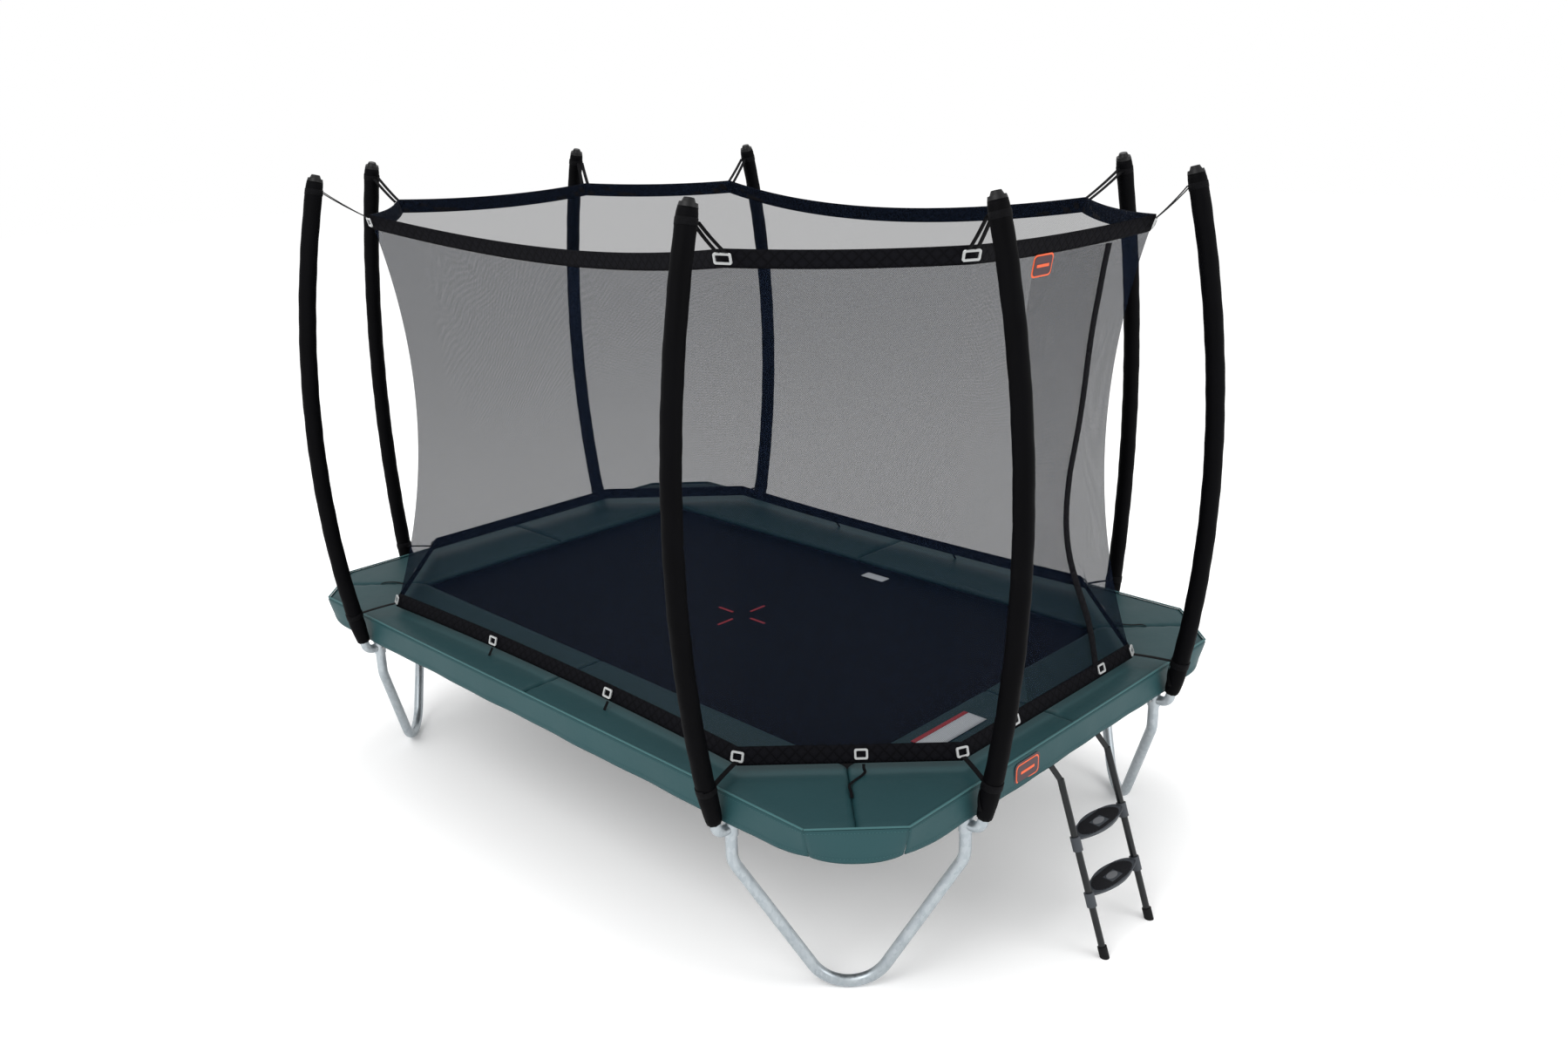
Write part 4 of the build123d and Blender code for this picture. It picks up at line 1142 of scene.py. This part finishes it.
for name, parts in springGroups.items():
    vertices, faces, uvs = merged(parts)
    made = piece("springs_" + name, vertices, faces, zinc, uvs=uvs, ride=False)
    recalc(made)
    sx = 1 if name.lower().endswith("right") else -1 if name.lower().endswith("left") else 0
    sy = -1 if name.startswith("front") else 1 if name.startswith("back") else 0
    if sx and sy:
        start, end = Vector((1.560, 1.025, frameZ)), Vector((1.437, 0.902, frameZ))
    elif sx:
        start, end = Vector((frameX - 0.022, 0, frameZ)), Vector((matX + 0.035, 0, frameZ))
    else:
        start, end = Vector((0, frameY - 0.022, frameZ)), Vector((0, matY + 0.035, frameZ))
    for point in (start, end):
        point.x *= sx
        point.y *= sy
    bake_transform(made)
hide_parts("springs")
print("springs made")


# ladder: ribbed treads, rims and oval inlays on the CAD steps
def treadLens(x, level, front, back, grow):
    line = []
    half = 0.155 * grow
    for i in range(41):
        a = math.pi * i / 40
        line.append(Vector((x + front * grow * math.sin(a), -0.006 - half * math.cos(a), level)))
    for i in range(1, 40):
        a = math.pi * i / 40
        line.append(Vector((x - back * grow * math.sin(a), -0.006 + half * math.cos(a), level)))
    return line


def slab(line, height):
    n = len(line)
    vertices, uvs = [], []
    for drop, shrink in ((0, 1.0), (height * 0.6, 1.0), (height, 0.985)):
        centre = sum(line, Vector()) / n
        for p in line:
            q = centre + (p - centre) * shrink
            vertices.append(q + Vector((0, 0, drop)))
            uvs.append((p.x, p.y))
    faces = gridFaces(3, n, closeColumns=True)
    faces += [tuple(reversed(range(n))), tuple(2 * n + k for k in range(n))]
    return vertices, faces, uvs


for node in ("ladder_step_lower", "ladder_step_upper"):
    low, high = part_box(node)
    level = 0.2260 if node.endswith("lower") else 0.4240
    x = 1.973 - 0.33848 * (level - 0.010)
    ribs = []
    for i in range(-9, 10):
        offset = i * 0.0046
        limit = 0.042 if offset > 0 else 0.058
        reachY = 0.118 * math.sqrt(max(0,
                1 - (offset / (limit * 0.88)) ** 2)) if abs(offset) < limit * 0.88 else 0
        if reachY < 0.02:
            continue
        for a, b in ((-reachY, -0.036), (0.036, reachY)) if abs(offset) < 0.020 else ((-reachY, reachY),):
            if b - a < 0.008:
                continue
            corners4 = [Vector((x + offset - 0.0014, a - 0.006, level)),
                    Vector((x + offset + 0.0014, a - 0.006, level)),
                        Vector((x + offset + 0.0014, b - 0.006, level)), Vector((x + offset - 0.0014,
                                b - 0.006, level))]
            ribs.append(slab(corners4, 0.0022))
    vertices, faces, uvs = merged(ribs)
    grip = piece(node + "_ribs", vertices, faces, treadPlastic, smooth=False, uvs=uvs, body="ladder")
    recalc(grip)
    rim = treadLens(x, level - 0.0004, 0.040, 0.056, 0.93)
    bead = piece(node + "_rim", *sweepTube(rim + rim[:1], lambda share, angle: 0.0022, 6, caps=False)[:2],
                 stepPlastic, body="ladder")
    recalc(bead)
    oval = [Vector((x - 0.004 + 0.015 * math.cos(2 * math.pi * k / 28),
            -0.006 + 0.030 * math.sin(2 * math.pi * k / 28), level))
            for k in range(28)]
    inlay = piece(node + "_oval", *slab(oval, 0.0018)[:2], labelDull, smooth=False, body="ladder")
    recalc(inlay)
print("ladder made")


# plain badges and labels, with no wording
def plate(name, centre, right, up, width, height, thick, radius, material, body="frame", ride=True):
    corner = []
    for cx, cy, turn in ((1, 1, 0), (-1, 1, 90), (-1, -1, 180), (1, -1, 270)):
        for k in range(7):
            a = math.radians(turn + 15 * k)
            corner.append((cx * (width / 2 - radius) + radius * math.cos(a),
                    cy * (height / 2 - radius) + radius * math.sin(a)))
    out = right.cross(up)
    vertices = [centre + right * x + up * y + out * d for d in (0, thick) for x, y in corner]
    n = len(corner)
    faces = gridFaces(2, n, closeColumns=True) + [tuple(reversed(range(n))), tuple(n + k for k in range(n))]
    made = piece(name, vertices, faces, material, smooth=False, body=body, ride=ride)
    return recalc(made)


eastRight, upward = Vector((0, 1, 0)), Vector((0, 0, 1))
for name, lift, width, height, material in (("badgeBack", 0.0022, 0.150, 0.086, badgeDark),
                                            ("badgeRing", 0.0028, 0.134, 0.070, badgeOrange),
                                            ("badgeField", 0.0034, 0.124, 0.060, badgeDark),
                                            ("badgeBar", 0.0040, 0.080, 0.010, badgeOrange)):
    made = plate(name, Vector((padX + lift + 0.0015, -0.322, 0.726)), eastRight, upward, width, height,
            0.0008, min(width, height) * 0.24, material, ride=False)
    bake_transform(made)
for name, lift, width, height, material in (("netBadgeBack", 0.003, 0.112, 0.076, badgeOrange),
                                            ("netBadgeField", 0.0042, 0.100, 0.064, badgeDark),
                                            ("netBadgeBar", 0.0052, 0.070, 0.010, badgeOrange)):
    spot = doorPoint(-0.103, 2.393, 0)
    above = (doorPoint(-0.103, 2.43, 0) - doorPoint(-0.103, 2.36, 0)).normalized()
    out = eastRight.cross(above).normalized()
    made = plate(name, spot + out * (lift + 0.003), eastRight, above, width, height, 0.0010, height * 0.2,
            material)
for name, x0, x1, y0, y1, lift, material in (("padLabel", 1.395, 1.475, -0.52, -0.21, 0.0, labelWhite),
                                             ("padLabelStrip", 1.375, 1.395, -0.52, -0.21, 0.0, labelRed)):
    rows, columns = 4, 24
    vertices = [Vector((x0 + (x1 - x0) * r / rows, y0 + (y1 - y0) * c / columns, padTop + 0.0016))
            for r in range(rows + 1) for c in range(columns + 1)]
    lower = [v - Vector((0, 0, 0.0012)) for v in vertices]
    n = len(vertices)
    faces = gridFaces(rows + 1, columns + 1)
    rim = list(range(columns + 1)) + [r * (columns + 1) + columns for r in range(1, rows + 1)]
    rim += [rows * (columns + 1) + c for c in range(columns - 1, -1, -1)] + [r * (columns + 1)
            for r in range(rows - 1, 0, -1)]
    faces += [tuple(n + k for k in reversed(f)) for f in faces]
    faces += [(rim[i], rim[(i + 1) % len(rim)], n + rim[(i + 1) % len(rim)], n + rim[i])
            for i in range(len(rim))]
    made = piece(name, vertices + lower, faces, material)
    recalc(made)
tag = plate("matTag", Vector((0.15, 0.74, matZ + 0.0005)), Vector((1, 0, 0)), Vector((0, 1, 0)), 0.13,
        0.055, 0.0012, 0.004, labelWhite, body="mat")
for turn in (0, 90):
    way = Vector((math.cos(math.radians(turn)), math.sin(math.radians(turn)), 0))
    side = Vector((-way.y, way.x, 0))
    for sign in (-1, 1):
        spot = Vector((0, 0, matZ - 0.0028)) + way * (0.10 * sign)
        plate(f"matMark{turn}_{sign + 1}", spot, way, side, 0.09, 0.012, 0.0012, 0.004, labelRed,
                body="mat")
print("badges made")


# what stays from the CAD takes its finish
# the frame takes the darker galvanised copy, whose colour carries painted shade
nodePaint = {
    "frame_": steelFrameShaded, "leg_": steelLegs, "pole_elbows": steelLegs, "pole_tubes": steelLegs,
    "socket_screws": zinc, "pole_caps": capPlastic, "mat_rings": zinc, "ladder_rail": blackPaint,
    "ladder_step": stepPlastic, "ladder_feet": footRubber,
    "top_buckles": bucklePlastic, "bottom_buckles": bucklePlastic,
}
for name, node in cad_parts.items():
    for start, material in nodePaint.items():
        if name.startswith(start):
            node.data.materials.clear()
            node.data.materials.append(material)


# floor, light and camera
bpy.ops.mesh.primitive_plane_add(size=60, location=(0, 0, 0))
floor = bpy.context.object
floor.name = "floor"
floorFinish = Finish("floorWhite", Roughness=0.95, Specular_IOR_Level=0.0, Emission_Color=rgb(1, 1, 1),
        Emission_Strength=0.12)
floorFinish.put("Base_Color",
        floorFinish.mix(floorFinish.noise(0.3), rgb(0.93, 0.93, 0.93), rgb(0.95, 0.95, 0.95)))
floor.data.materials.append(floorFinish.material)
world = bpy.data.worlds.new("studio")
bpy.context.scene.world = world
world.use_nodes = True
world.node_tree.nodes["Background"].inputs[0].default_value = rgb(1, 1, 1)
world.node_tree.nodes["Background"].inputs[1].default_value = 1.0
bpy.context.scene.view_settings.view_transform = "Standard"


def softLight(name, place, target, size, power):
    light = bpy.data.lights.new(name, "AREA")
    light.size, light.energy = size, power
    made = bpy.data.objects.new(name, light)
    bpy.context.scene.collection.objects.link(made)
    way = Vector(target) - Vector(place)
    made.matrix_world = Matrix.Translation(place) @ way.to_track_quat("-Z", "Y").to_matrix().to_4x4()


softLight("keyLight", (1.5, -5.5, 6.0), (0, 0, 1), 4.0, 230)
softLight("sideLight", (7.0, 1.5, 4.0), (0, 0, 1), 3.5, 110)
softLight("topLight", (-2.0, 2.0, 8.0), (0, 0, 1), 5.0, 230)

turn, dip, roll = math.radians(44.389), math.radians(18.462), math.radians(-1.4038)
fwd = Vector((-math.sin(turn) * math.cos(dip), math.cos(turn) * math.cos(dip), -math.sin(dip)))
right = fwd.cross(Vector((0, 0, 1))).normalized()
up = right.cross(fwd)
level = right * math.cos(roll) + up * math.sin(roll)
rise = up * math.cos(roll) - right * math.sin(roll)
cameraData = bpy.data.cameras.new("photoCamera")
cameraData.lens, cameraData.sensor_width = 30.35, 36
camera = bpy.data.objects.new("photoCamera", cameraData)
bpy.context.scene.collection.objects.link(camera)
axes = Matrix((level, rise, -fwd)).transposed().to_4x4()
camera.matrix_world = Matrix.Translation((3.952, -3.754, 2.971)) @ axes
bpy.context.scene.camera = camera
print("stage made")
